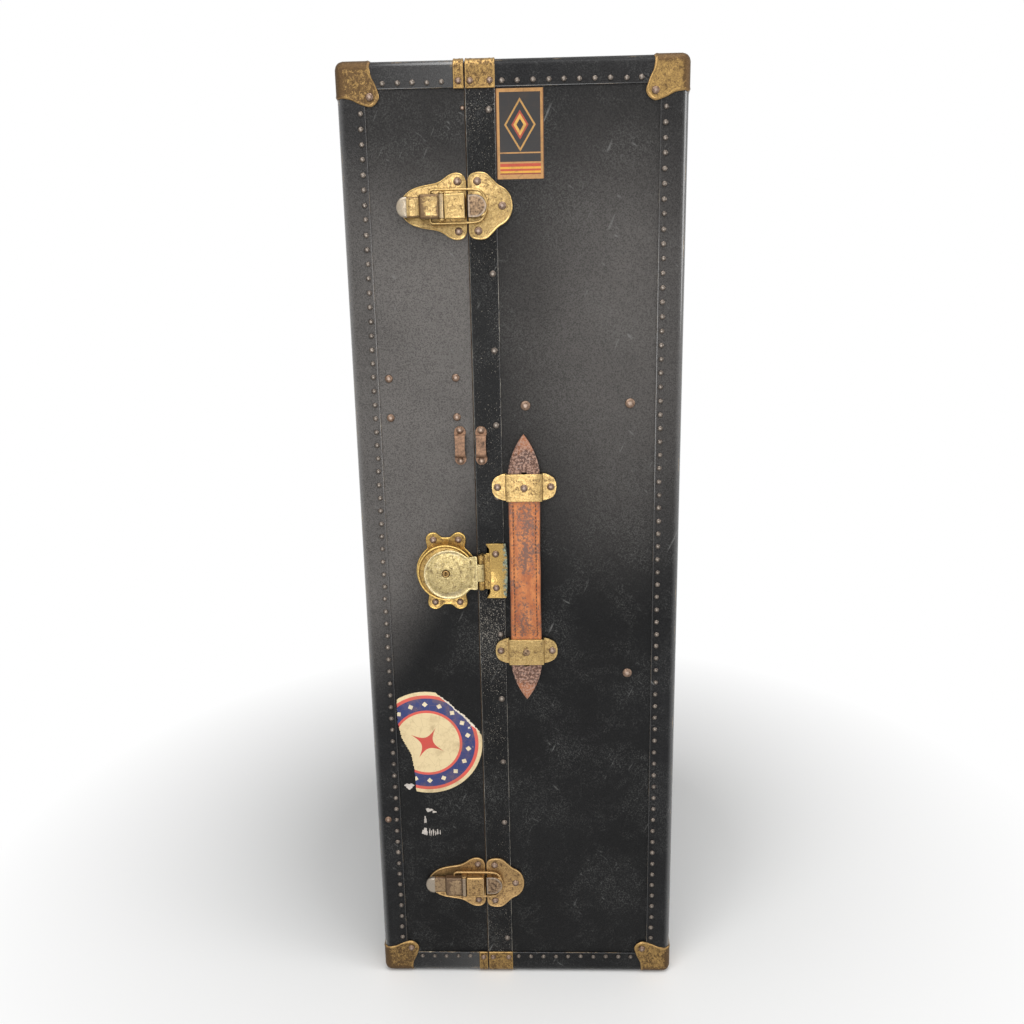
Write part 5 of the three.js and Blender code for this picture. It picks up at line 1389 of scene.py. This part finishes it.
def strap_width(v):
    """Half the strap's width at a distance from its middle."""
    v = abs(v)
    if v < shoulder:
        return strap_half - .5 * math.exp(-((v - 30) / 25) ** 2)
    share = (v - shoulder) / (point - shoulder)
    return max(.25, strap_half * (1 - share ** 1.75) ** .92)


def strap_face(a, b, off):
    """A point of the strap: a across as if it kept its full width, b from its middle, off a share of its
    thickness."""
    lift, thick = strap_lift(b)
    return on_front(handle_out + a / strap_half * strap_width(b), handle_up + b, lift + off * thick)


def strap_top(a, b):
    """The top of the leather as a share of its thickness: rounded edges and a groove for the stitches."""
    edge = (1 - abs(a) / strap_half) * strap_width(b)
    groove = .09 * math.exp(-((edge - 4.8) / .7) ** 2)
    return 1 - .2 * math.exp(-(edge / .9) ** 2) - groove + .03 * min(1, edge / 6)


# Scuffs: how far each is across and up from the strap's middle, and how wide it spreads, in millimetres
scuffs = [(0, 64, 15), (5, 50, 13), (6, 26, 14), (1, 9, 12), (-9, -14, 8), (2, -50, 12), (0, -64, 13)]
stitch_tree, given = node_group("stitch_rows", "Stitches", Lines="Geometry", Pitch=.0042, Thread=.0005,
    Length=.0016, Cord="Material")
curve = add(stitch_tree, "MeshToCurve", Mesh=given["Lines"])
spaced = add(stitch_tree, "ResampleCurve", mode="LENGTH", Curve=curve, Length=given["Pitch"])
points = add(stitch_tree, "CurveToPoints", mode="EVALUATED", Curve=spaced)
bead = add(stitch_tree, "MeshUVSphere", Segments=8, Rings=6, Radius=1.)
size = add(stitch_tree, "CombineXYZ", X=given["Thread"], Y=given["Thread"], Z=given["Length"])
bead = add(stitch_tree, "Transform", Geometry=bead, Scale=size)
bead = add(stitch_tree, "SetShadeSmooth", Geometry=bead)
slant = add(stitch_tree, "RandomValue", (.04, 0, -.05), (.2, 0, .05), data_type="FLOAT_VECTOR", Seed=2)
run = add(stitch_tree, "VectorMath", points.outputs["Tangent"], slant, operation="ADD")
turn = add(stitch_tree, "AlignRotationToVector", axis="Z", Vector=run)
beads = add(stitch_tree, "InstanceOnPoints", Points=points, Instance=bead, Rotation=turn)
hand_out(stitch_tree, beads, given["Cord"])

across = [-17, -16.8, -16.4, -15.6, -14.4, -13.2, -12.7, -12.2, -11.7, -11, -9, -6, -3]
across += [0] + [-a for a in reversed(across)]
stitched = {"grip": (-bend_from, bend_from), "upper": (bend_from, flex_end), "lower": (-flex_end, -bend_from),
            "top": (flex_end, point - .05), "bottom": (.05 - point, -flex_end)}
bends = {"upper": ("strap_top", "strap_grip", flex_end, bend_from),
         "lower": ("strap_grip", "strap_bottom", -bend_from, -flex_end)}
for part, (low, high) in stitched.items():
    count = max(2, round((high - low) / 2.2))
    along = {low + (high - low) * k / count for k in range(count + 1)}
    if part in ("top", "bottom"):
        way = 1 if part == "top" else -1
        rows_at = (88.4, 90.5, 93, 97, 101, 105, 108, 110.5, 112.4, 149.4, 150.1)
        along = {b for b in along if not 89 < abs(b) < 112} | {way * b for b in rows_at}
    shape = bmesh.new()
    pressed_sheet(shape, across, sorted(along), strap_face, 0, strap_top)
    if part in ("top", "bottom"):
        hole = [f for f in shape.faces if abs(f.calc_center_median().x - (seam + handle_out / 1000)) < .0028
                and 90.5 < abs((f.calc_center_median().z - foot) * 1000 - handle_up) < 110.5
                and abs(f.normal.y) > .8]
        bmesh.ops.delete(shape, geom=hole, context="FACES")
        bmesh.ops.bridge_loops(shape, edges=[e for e in shape.edges if e.is_boundary])
        bmesh.ops.recalc_face_normals(shape, faces=shape.faces)
    layers = {name: layer(shape, name) for name in ("dark", "scuff", "tip")}
    for vert in shape.verts:
        b, a = (vert.co.z - foot) * 1000 - handle_up, (vert.co.x - seam) * 1000 - handle_out
        vert[layer(shape, "rim")] = max(0, 1 - (1 - abs(a) / strap_width(b)) * strap_width(b) / 1.6)
        vert[layers["dark"]] = min(1, max(0, (abs(b) - 83) / 8))
        vert[layers["tip"]] = min(1, max(0, (abs(b) - 112) / 34)) * (1 if b < 0 else .9)
        vert[layers["scuff"]] = .32 * max(math.exp(-(((a - x) / (r * .8)) ** 2 + ((b - z) / r) ** 2))
            for x, z, r in scuffs)
    if part in bends:
        one, other, start, end = bends[part]
        start, end = on_front(handle_out, handle_up + start, 6), on_front(handle_out, handle_up + end, 6)
        piece = add_piece("strap_flex_" + part, shape, strap_leather, None, [f"strap_{part}_flex"],
                          crease=50)
        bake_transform(piece)
        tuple(start)
        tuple(end)
        body = (one, other, start, end)
    else:
        body = "strap_" + part
        node = "strap_grip" if part == "grip" else f"strap_{part}_end"
        add_piece("strap_leather_" + part, shape, strap_leather, body, [node], crease=50)
    if part in ("grip", "upper", "lower"):
        mesh = bpy.data.meshes.new("stitch_lines")
        run = [low + 1 + (high - low - 2) * k / 24 for k in range(25)]
        mesh.from_pydata([strap_face(s * 12.2, b, .96) for s in (-1, 1) for b in run],
                         [(i, i + 1) for s in (0, 25) for i in range(s, s + 24)], [])
        grow("strap_stitches_" + part, stitch_tree, mesh,
             {"Pitch": .0042, "Thread": .0005, "Length": .0016, "Cord": waxed_thread}, body)


# Papers: a plain striped tinplate label by the seam and a torn round sticker in rings, with a few
# scraps of other stickers below it
def aged(tree, shader, at, colour, stain, roughness):
    """Age on printed paper: brown stains, fine cracks and matt fibres."""
    spots = add(tree, "TexNoise", at, Scale=60., Detail=6., Roughness=.7)
    colour = tint(colour, stain, spots, .5, .75, .55)
    cracks = add(tree, "TexVoronoi", at, feature="DISTANCE_TO_EDGE", Scale=95.)
    colour = tint(colour, stain, cracks, .02, .004, .3)
    fibres = add(tree, "TexNoise", at, Scale=700., Detail=3.)
    bump = add(tree, "Bump", Strength=.2, Distance=.0003, Height=fibres)
    feed(shader, Base_Color=colour, Roughness=roughness, Normal=bump)


label_low, label_high, lozenge_up = Vector((30.5, 918.2)), Vector((77.2, 1002.6)), 969
label_print, tree, shader, at = new_material("lithographed_tinplate_label")
# Lithographed tinplate: glossy varnish over a gold border, a black field and gold and red stripes
middle = on_front((label_low.x + label_high.x) / 2, lozenge_up, 0)
moved = add(tree, "Mapping", at, Location=(-middle.x, 0, -middle.z))
where = add(tree, "SeparateXYZ", moved)
x = add(tree, "Math", where.outputs["X"], operation="ABSOLUTE")
z = add(tree, "Math", where.outputs["Z"], operation="ABSOLUTE")
flattened = add(tree, "Math", z, .62, operation="MULTIPLY")
both = add(tree, "Math", x, flattened, operation="ADD")
colour = None
# Nested lozenges on the field, each line 1 mm wide
for value, radius, shade in ((both, .0165, "#1d1a1a"), (both, .0155, "#b98c4c"), (both, .0135, "#1d1a1a"),
        (both, .0085, "#a8472f"), (both, .0065, "#d6a552"), (both, .0035, "#1d1a1a")):
    inside = add(tree, "Math", value, radius, operation="LESS_THAN")
    colour = tint(colour or "#1d1a1a", shade, inside)
for level, shade in ((-.0255, "#ba8950"), (-.0268, "#1d1a1a"), (-.0345, "#ba8950"), (-.0362, "#b8492e"),
                     (-.0392, "#d8a23a"), (-.0412, "#b8492e"), (-.0432, "#d8a23a"), (-.0452, "#8c3b28"),
                     (-.0465, "#ba8950")):
    below = add(tree, "Math", where.outputs["Z"], level, operation="LESS_THAN")
    colour = tint(colour, shade, below)
for value, limit, shade in ((where.outputs["Z"], .0302, "#ba8950"), (x, .0202, "#ba8950"),
        (x, .0226, "#7a4d26")):
    past_it = add(tree, "Math", value, limit, operation="GREATER_THAN")
    colour = tint(colour, shade, past_it)
aged(tree, shader, at, colour, "#3a2a1c", .34)
shape = bmesh.new()
block(shape, (label_low.x, label_low.y, .03), (label_high.x, label_high.y, .28), on_front, .08)
add_piece("striped_label", shape, label_print, "wide_half")

sticker_spot, sticker_radius = Vector((-63.8, 303.2)), 63.6
sticker_print, tree, shader, at = new_material("printed_paper_sticker")
# Printed paper, varnished once and now cracked: cream ground, navy ring between two red lines
spot = on_front(sticker_spot.x, sticker_spot.y, 0)
turned = add(tree, "Mapping", at, vector_type="TEXTURE", Location=spot, Rotation=(0, .5, 0))
where = add(tree, "SeparateXYZ", turned)
x = add(tree, "Math", where.outputs["X"], operation="ABSOLUTE")
z = add(tree, "Math", where.outputs["Z"], operation="ABSOLUTE")
# A four-pointed star in the middle: the product of the two distances is small inside it
x, z = (add(tree, "Math", off, .0022, operation="ADD") for off in (x, z))
arms = add(tree, "Math", x, z, operation="MULTIPLY")
inside = add(tree, "Math", arms, .000052, operation="LESS_THAN")
colour = tint("#e3cd9f", "#c9473c", inside)
moved = add(tree, "Mapping", at, Location=(-spot.x, 0, -spot.z), Scale=(1, 0, 1))
away = add(tree, "VectorMath", moved, operation="LENGTH")
for radius, shade in ((26., "#e3cd9f"), (37.4, "#d8574a"), (40.4, "#27336b"), (55.4, "#d8574a"),
                      (59.2, "#e3cd9f")):
    past_it = add(tree, "Math", away, radius / 1000, operation="GREATER_THAN")
    colour = tint(colour, shade, past_it)
# Small cream diamonds round the navy ring
turn = add(tree, "Math", where.outputs["Z"], where.outputs["X"], operation="ARCTAN2")
beat = add(tree, "Math", turn, math.pi / 18, operation="PINGPONG")
beat = add(tree, "Math", beat, .048, operation="MULTIPLY")
off = add(tree, "Math", away, .0479, operation="SUBTRACT")
off = add(tree, "Math", off, operation="ABSOLUTE")
sum_of = add(tree, "Math", beat, off, operation="ADD")
mark = add(tree, "Math", sum_of, .0034, operation="LESS_THAN")
colour = tint(colour, "#e6d6b4", mark)
peel = add(tree, "TexNoise", at, Scale=85., Detail=5., Roughness=.75)
# Along the upper right tear the paper's white core shows
from_spot = add(tree, "VectorMath", at, spot, operation="SUBTRACT")
outwards = add(tree, "VectorMath", from_spot, (.703, 0, .711), operation="DOT_PRODUCT")
core = add(tree, "Math", peel, .006, outwards, operation="MULTIPLY_ADD")
core = add(tree, "Math", core, .0555, operation="GREATER_THAN")
colour = tint(colour, "#e6dcc9", core)
rim = add(tree, "Math", away, 5., peel, operation="MULTIPLY_ADD")
colour = tint(colour, "#efe6d2", rim, .9, .93)
aged(tree, shader, at, colour, "#8d6b42", .5)
# The narrow half's front is 125 mm wide. The torn edge is measured in millimetres from its upper
# left corner, x to the right and z down
narrow_width = 125
torn = [(28, 660), (28, 700), (32, 720), (42, 740), (45, 760), (46, 788), (46, 800)]
torn = [Vector((x - narrow_width, body_high - z)) - sticker_spot for x, z in torn]
corner_tear = [Vector(p) for p in ((9, 63.5), (15, 59.5), (28, 49), (34.5, 41.4), (43.6, 34.8),
                                   (54.3, 22.5), (61, 13.4), (63.6, 8))]
radii = []
for k, turn in enumerate(turns(240)):
    way, reach = Vector((math.cos(turn), math.sin(turn))), sticker_radius
    for a, b in [*zip(torn, torn[1:]), *zip(corner_tear, corner_tear[1:])]:
        run = b - a
        across_it = way.x * run.y - way.y * run.x
        if abs(across_it) > 1e-9:
            along_it = (a.x * run.y - a.y * run.x) / across_it
            share = (a.x * way.y - a.y * way.x) / across_it
            if along_it > 0 and 0 <= share <= 1:
                reach = min(reach, along_it)
    ragged = .12 * math.sin(k * 1.7)
    if reach < sticker_radius - .01:
        ragged = .5 * math.sin(k * 2.3) + .35 * math.sin(k * 5.1 + 1)
    radii.append(min(sticker_radius, reach + ragged))
shape = bmesh.new()
star(shape, radii, [(0, 0, .02), (1, 0, .02), (1, 0, .12), (1, -.1, .16), (.5, 0, .16), (0, 0, .16)],
     lambda x, y, w: on_front(sticker_spot.x + x, sticker_spot.y + y, w))
add_piece("torn_sticker", shape, sticker_print, "narrow_half")

scrap_paper, tree, shader, at = new_material("torn_paper_scraps")
# What is left where paper was pulled off: its white and pinkish fibres
mixed = add(tree, "TexNoise", at, Scale=150., Detail=4.)
colour = tint("#8e8a86", "#e9ded3", mixed)
aged(tree, shader, at, colour, "#5a4a40", .7)
shape = bmesh.new()
# Each scrap's middle, measured as the torn edge is, and half its width and height
scraps = [(38, 781, 5, 3.6), (60, 812, 4, 2.2), (66, 814.5, 2.4, 1.2), (55, 825, 1.4, 4.6),
          (54, 840.5, 3.2, 4.6), (59.6, 841, .7, 4.6), (61.6, 842, .6, 3.6), (64, 841, .8, 4.2),
          (66.6, 842.5, .6, 3), (69, 841, .9, 3.6), (72, 841.6, .6, 3)]
for n, (x, z, wide, high) in enumerate(scraps):
    def scrap(a, b, w, x=x, z=z, wide=wide, high=high):
        return on_front(x - narrow_width + a * wide, body_high - z + b * high, w)

    ragged = [1 + .22 * math.sin(3 * t + n) + .12 * math.sin(7 * t + 2 * n) for t in turns(28)]
    star(shape, ragged, [(0, 0, .02), (1, 0, .02), (1, 0, .1), (0, 0, .12)], scrap)
add_piece("paper_scraps", shape, scrap_paper, "narrow_half")


# Drawer rack: a ladder of poplar boards between two uprights, glued in grooves, stained brown and
# varnished once. Its solid keeps its edges, which are square from the saw in the real one too
def wood(name, pale, dark, grain, rings=26., roughness=.42):
    """Stained wood. The eye sees long bands along the grain, fine dark pores and a thin worn varnish."""
    made, tree, shader, at = new_material(name)
    drawn = add(tree, "Mapping", at, Scale=grain)
    figure = add(tree, "TexNoise", drawn, Scale=rings, Detail=5., Roughness=.6, Distortion=1.2)
    pores = add(tree, "TexNoise", drawn, Scale=rings * 16, Detail=2.)
    colour = tint(dark, pale, figure, .36, .64)
    pore = add(tree, "MapRange", pores, .56, .7, To_Max=.5)
    colour = tint(colour, "#2c1a0f", pore)
    dull = add(tree, "Math", pore, .3, roughness, operation="MULTIPLY_ADD")
    bump = add(tree, "Bump", Strength=.2, Distance=.0003, Height=pores)
    feed(shader, Base_Color=colour, Roughness=dull, Normal=bump)
    return made


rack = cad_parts["drawer_rack"]
rack.data.materials.clear()
rack.data.materials.append(wood("stained_poplar", "#96683d", "#6b4426", (1., .08, 1.)))

# Drawers: five plywood boxes covered with grey-green cloth paper, with a beaded front frame of
# nickelled brass tube, a pressed rosette and a turned beech knob screwed on from inside
cloth_paper, tree, shader, at = new_material("book_cloth_covered_paper")
# Book cloth: a matt woven ground drawn at 1.2 mm, three times its real size, rubbed pale at the edges
where = add(tree, "SeparateXYZ", at)
threads = []
for way in "YZ":
    slanted = add(tree, "Math", where.outputs["X"], where.outputs[way], operation="ADD")
    threads.append(add(tree, "Math", slanted, .0006, operation="PINGPONG"))
weave = add(tree, "Math", threads[0], threads[1], operation="ADD")
weave = add(tree, "MapRange", weave, From_Max=.0012)
cloud = add(tree, "TexNoise", at, Scale=22., Detail=6., Roughness=.7)
tone = add(tree, "MapRange", cloud, .38, .66)
colour = tint("#59615a", "#7c8379", tone)
colour = add(tree, "Mix", data_type="RGBA", blend_type="MULTIPLY", i0=.35, i6=colour, i7=weave)
rim = add(tree, "Attribute", attribute_name="rim")
rubbed = add(tree, "Math", rim, tone, operation="MULTIPLY")
colour = tint(colour, "#a89c80", rubbed)
bump = add(tree, "Bump", Strength=.4, Distance=.0003, Height=weave)
feed(shader, Base_Color=colour, Roughness=.7, Normal=bump)
beech = wood("varnished_beech", "#c48a52", "#96602f", (1., .06, .5))
nickel, tree, shader, at = new_material("dull_nickel_plate")
# Nickel plate gone dull: grey metal with soft brown tarnish spots and a rubbed sheen
spots = add(tree, "TexNoise", at, Scale=120., Detail=6., Roughness=.75)
tarnish = add(tree, "MapRange", spots, .5, .72)
colour = tint("#aeaba4", "#7a6a58", tarnish)
rough = add(tree, "MapRange", tarnish, To_Min=.34, To_Max=.6)
feed(shader, Base_Color=colour, Metallic=.9, Roughness=rough)

for n in range(1, 6):
    low, high = (Vector(c) * 1000 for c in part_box("drawer_%d" % n))
    face, middle = high.x - 11, (low.y + high.y) / 2
    half = Vector(((face - low.x) / 2, (high.y - low.y) / 2, (high.z - low.z) / 2))
    height = (low.z + high.z) / 2
    # The box: an outer skin of four walls and a floor and an inner one, joined round the rim
    box = bmesh.new()
    rim = layer(box, "rim")
    skins = []
    for wall, floor_up in ((0., 0.), (5., 4.)):
        rings = []
        for inset, z, edge in ((wall + 1.2, low.z + floor_up, 0.), (wall + .35, low.z + floor_up + .35, 1.),
                               (wall, low.z + floor_up + 1.2, 0.), (wall, low.z + 9, 0.),
                               (wall, high.z - 9, 0.), (wall, high.z - .8, .6),
                               (wall + (.8 if not wall else -.8), high.z, 1.)):
            near, far, side = low.x + inset, face - inset, half.y - inset
            corners = ((near, -side), (far, -side), (far, side), (near, side))
            rings.append([box.verts.new(Vector((x, middle + y, z)) / 1000) for x, y in corners])
            for made in rings[-1]:
                made[rim] = edge
        skins.append(rings)
        box.faces.new(rings[0])
        for a, b in zip(rings, rings[1:]):
            for i in range(4):
                box.faces.new((a[i], a[(i + 1) % 4], b[(i + 1) % 4], b[i]))
    for i in range(4):
        outer, inner = skins[0][-1], skins[1][-1]
        box.faces.new((outer[i], outer[(i + 1) % 4], inner[(i + 1) % 4], inner[i]))
    bmesh.ops.recalc_face_normals(box, faces=box.faces)
    add_piece("drawer_box_%d" % n, box, cloth_paper, "drawer_%d" % n, ["drawer_%d" % n])
    # The front's frame of half-round tube, its rosette and the knob
    trim = bmesh.new()
    y_in, z_in = half.y - 9, half.z - 9
    corners = ((-1, -1, 4, 0), (1, -1, -4, 0), (1, -1, -1.2, 1.2), (1, -1, 0, 4), (1, 1, 0, -4),
               (1, 1, -1.2, -1.2), (1, 1, -4, 0), (-1, 1, 4, 0), (-1, 1, 1.2, -1.2), (-1, 1, 0, -4),
               (-1, -1, 0, 4), (-1, -1, 1.2, 1.2), (-1, -1, 3.9, 0))
    round_it = [Vector((face + .6, middle + sy * y_in + cy, height + sz * z_in + cz)) / 1000
                for sy, sz, cy, cz in corners]
    wire(trim, round_it, .0012, 8)

    def on_knob(x, y, h, middle=middle, height=height, face=face):
        """A point of the knob in millimetres: two ways across and its height from the drawer's face."""
        return Vector((face + h, middle + x, height + y)) / 1000

    lathe(trim, [(0, -.3), (8.6, -.3), (8.9, .2), (8.4, .8), (6.6, 1.2), (5.4, 2.), (0, 2.)], on_knob, 32)
    add_piece("drawer_trim_%d" % n, trim, nickel, "drawer_%d" % n)
    knob = bmesh.new()
    lathe(knob, [(0, 1.6), (4.6, 1.6), (4., 2.6), (3.8, 3.8), (4.9, 4.9), (7.6, 5.9), (8.8, 7.2), (9., 8.3),
        (8.6, 9.4), (7.2, 10.3), (4.6, 10.8), (0, 11.)], on_knob, 32)
    add_piece("drawer_knob_%d" % n, knob, beech, "drawer_%d" % n)

# Dust lip and trolley rail: folded from tinned sheet steel and screwed to the wide half. Both
# keep their solids, which are the folded sheets themselves
for name in ("dust_lip", "trolley_rail"):
    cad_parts[name].data.materials.clear()
    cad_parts[name].data.materials.append(nickel)

# Hanger trolley: a steel slide plate that runs in the rail, two posts riveted to it and a rod on
# which the hangers hang
def in_metres(x, y, z):
    """A point in millimetres of the shared frame."""
    return Vector((x, y, z)) / 1000


low, high = (Vector(c) * 1000 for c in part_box("hanger_trolley"))
middle, rod = (low.y + high.y) / 2, low.z + 5
trolley = bmesh.new()
block(trolley, (low.x, low.y, high.z - 4), high, in_metres, .6)
for x in (low.x, high.x - 6):
    block(trolley, (x, middle - 5, low.z), (x + 6, middle + 5, high.z - 3.8), in_metres, .8)
rod_line = (low.x + 3, low.x + 6, low.x + 8, high.x - 8, high.x - 6, high.x - 3)
wire(trolley, [in_metres(x, middle, rod) for x in rod_line], .005, 24)
for x in (low.x + 3, high.x - 3):
    for y in (-11, 11):
        lathe(trolley, [(2.6, -.7), (2.3, -1.4), (1.2, -1.9), (0, -2.)],
              lambda a, b, h, x=x, y=y: in_metres(x + a, middle + y + b, high.z - 3.3 + h), 16)
add_piece("hanger_trolley_built", trolley, nickel, "trolley", ["hanger_trolley"])

# Clothes hangers: four bent beech arms, 12 mm thick with rounded edges, each with a steel wire
# hook screwed into its middle
for n in range(1, 5):
    low, high = (Vector(c) * 1000 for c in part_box("hanger_%d" % n))
    x, reach, wood_top = (low.x + high.x) / 2, (high.y - low.y) / 2, low.z + 66.5
    bends = []
    for a, b, c in (((0, 0), (reach * .45, 0), (reach, -53)),
                    ((reach, -53), (reach + .4, -59), (reach - 4.5, -66.5)),
                    ((reach - 4.5, -66.5), (reach * .45, -26), (0, -26))):
        bends += [(Vector(a) * (1 - t) ** 2 + Vector(b) * 2 * t * (1 - t) + Vector(c) * t * t)
                  for t in [k / 16 for k in range(16)]]
    bends += [Vector((-p.x, p.y)) for p in bends[:0:-1]]
    arm = bmesh.new()
    stamped(arm, bends[::-1], [(2.6, -6), (.8, -5.3), (0, -3.4), (0, 3.4), (.8, 5.3), (2.6, 6)],
            lambda a, b, w, x=x: in_metres(x + w, middle + a, wood_top + b))
    add_piece("hanger_arm_%d" % n, arm, beech, "trolley", ["hanger_%d" % n], crease=50)
    ring = [(7.05 * math.cos(t), 7.05 * math.sin(t))
            for t in [2 * math.pi * (-.14 + .64 * k / 26) for k in range(27)]]
    hook = bmesh.new()
    line = [in_metres(x, middle + y, z) for y, z in ((0, wood_top - 8), (0, rod - 26), (1.2, rod - 14))]
    line += [in_metres(x, middle + a, rod + b) for a, b in ring]
    wire(hook, smooth_line(line, 3), .00175, 10)
    lathe(hook, [(4.2, -.5), (4.2, .6), (3., 1.1), (1.7, 1.6), (0, 1.6)],
          lambda a, b, h, x=x: in_metres(x + a, middle + b, wood_top + h), 20)
    add_piece("hanger_hook_%d" % n, hook, nickel, "trolley")
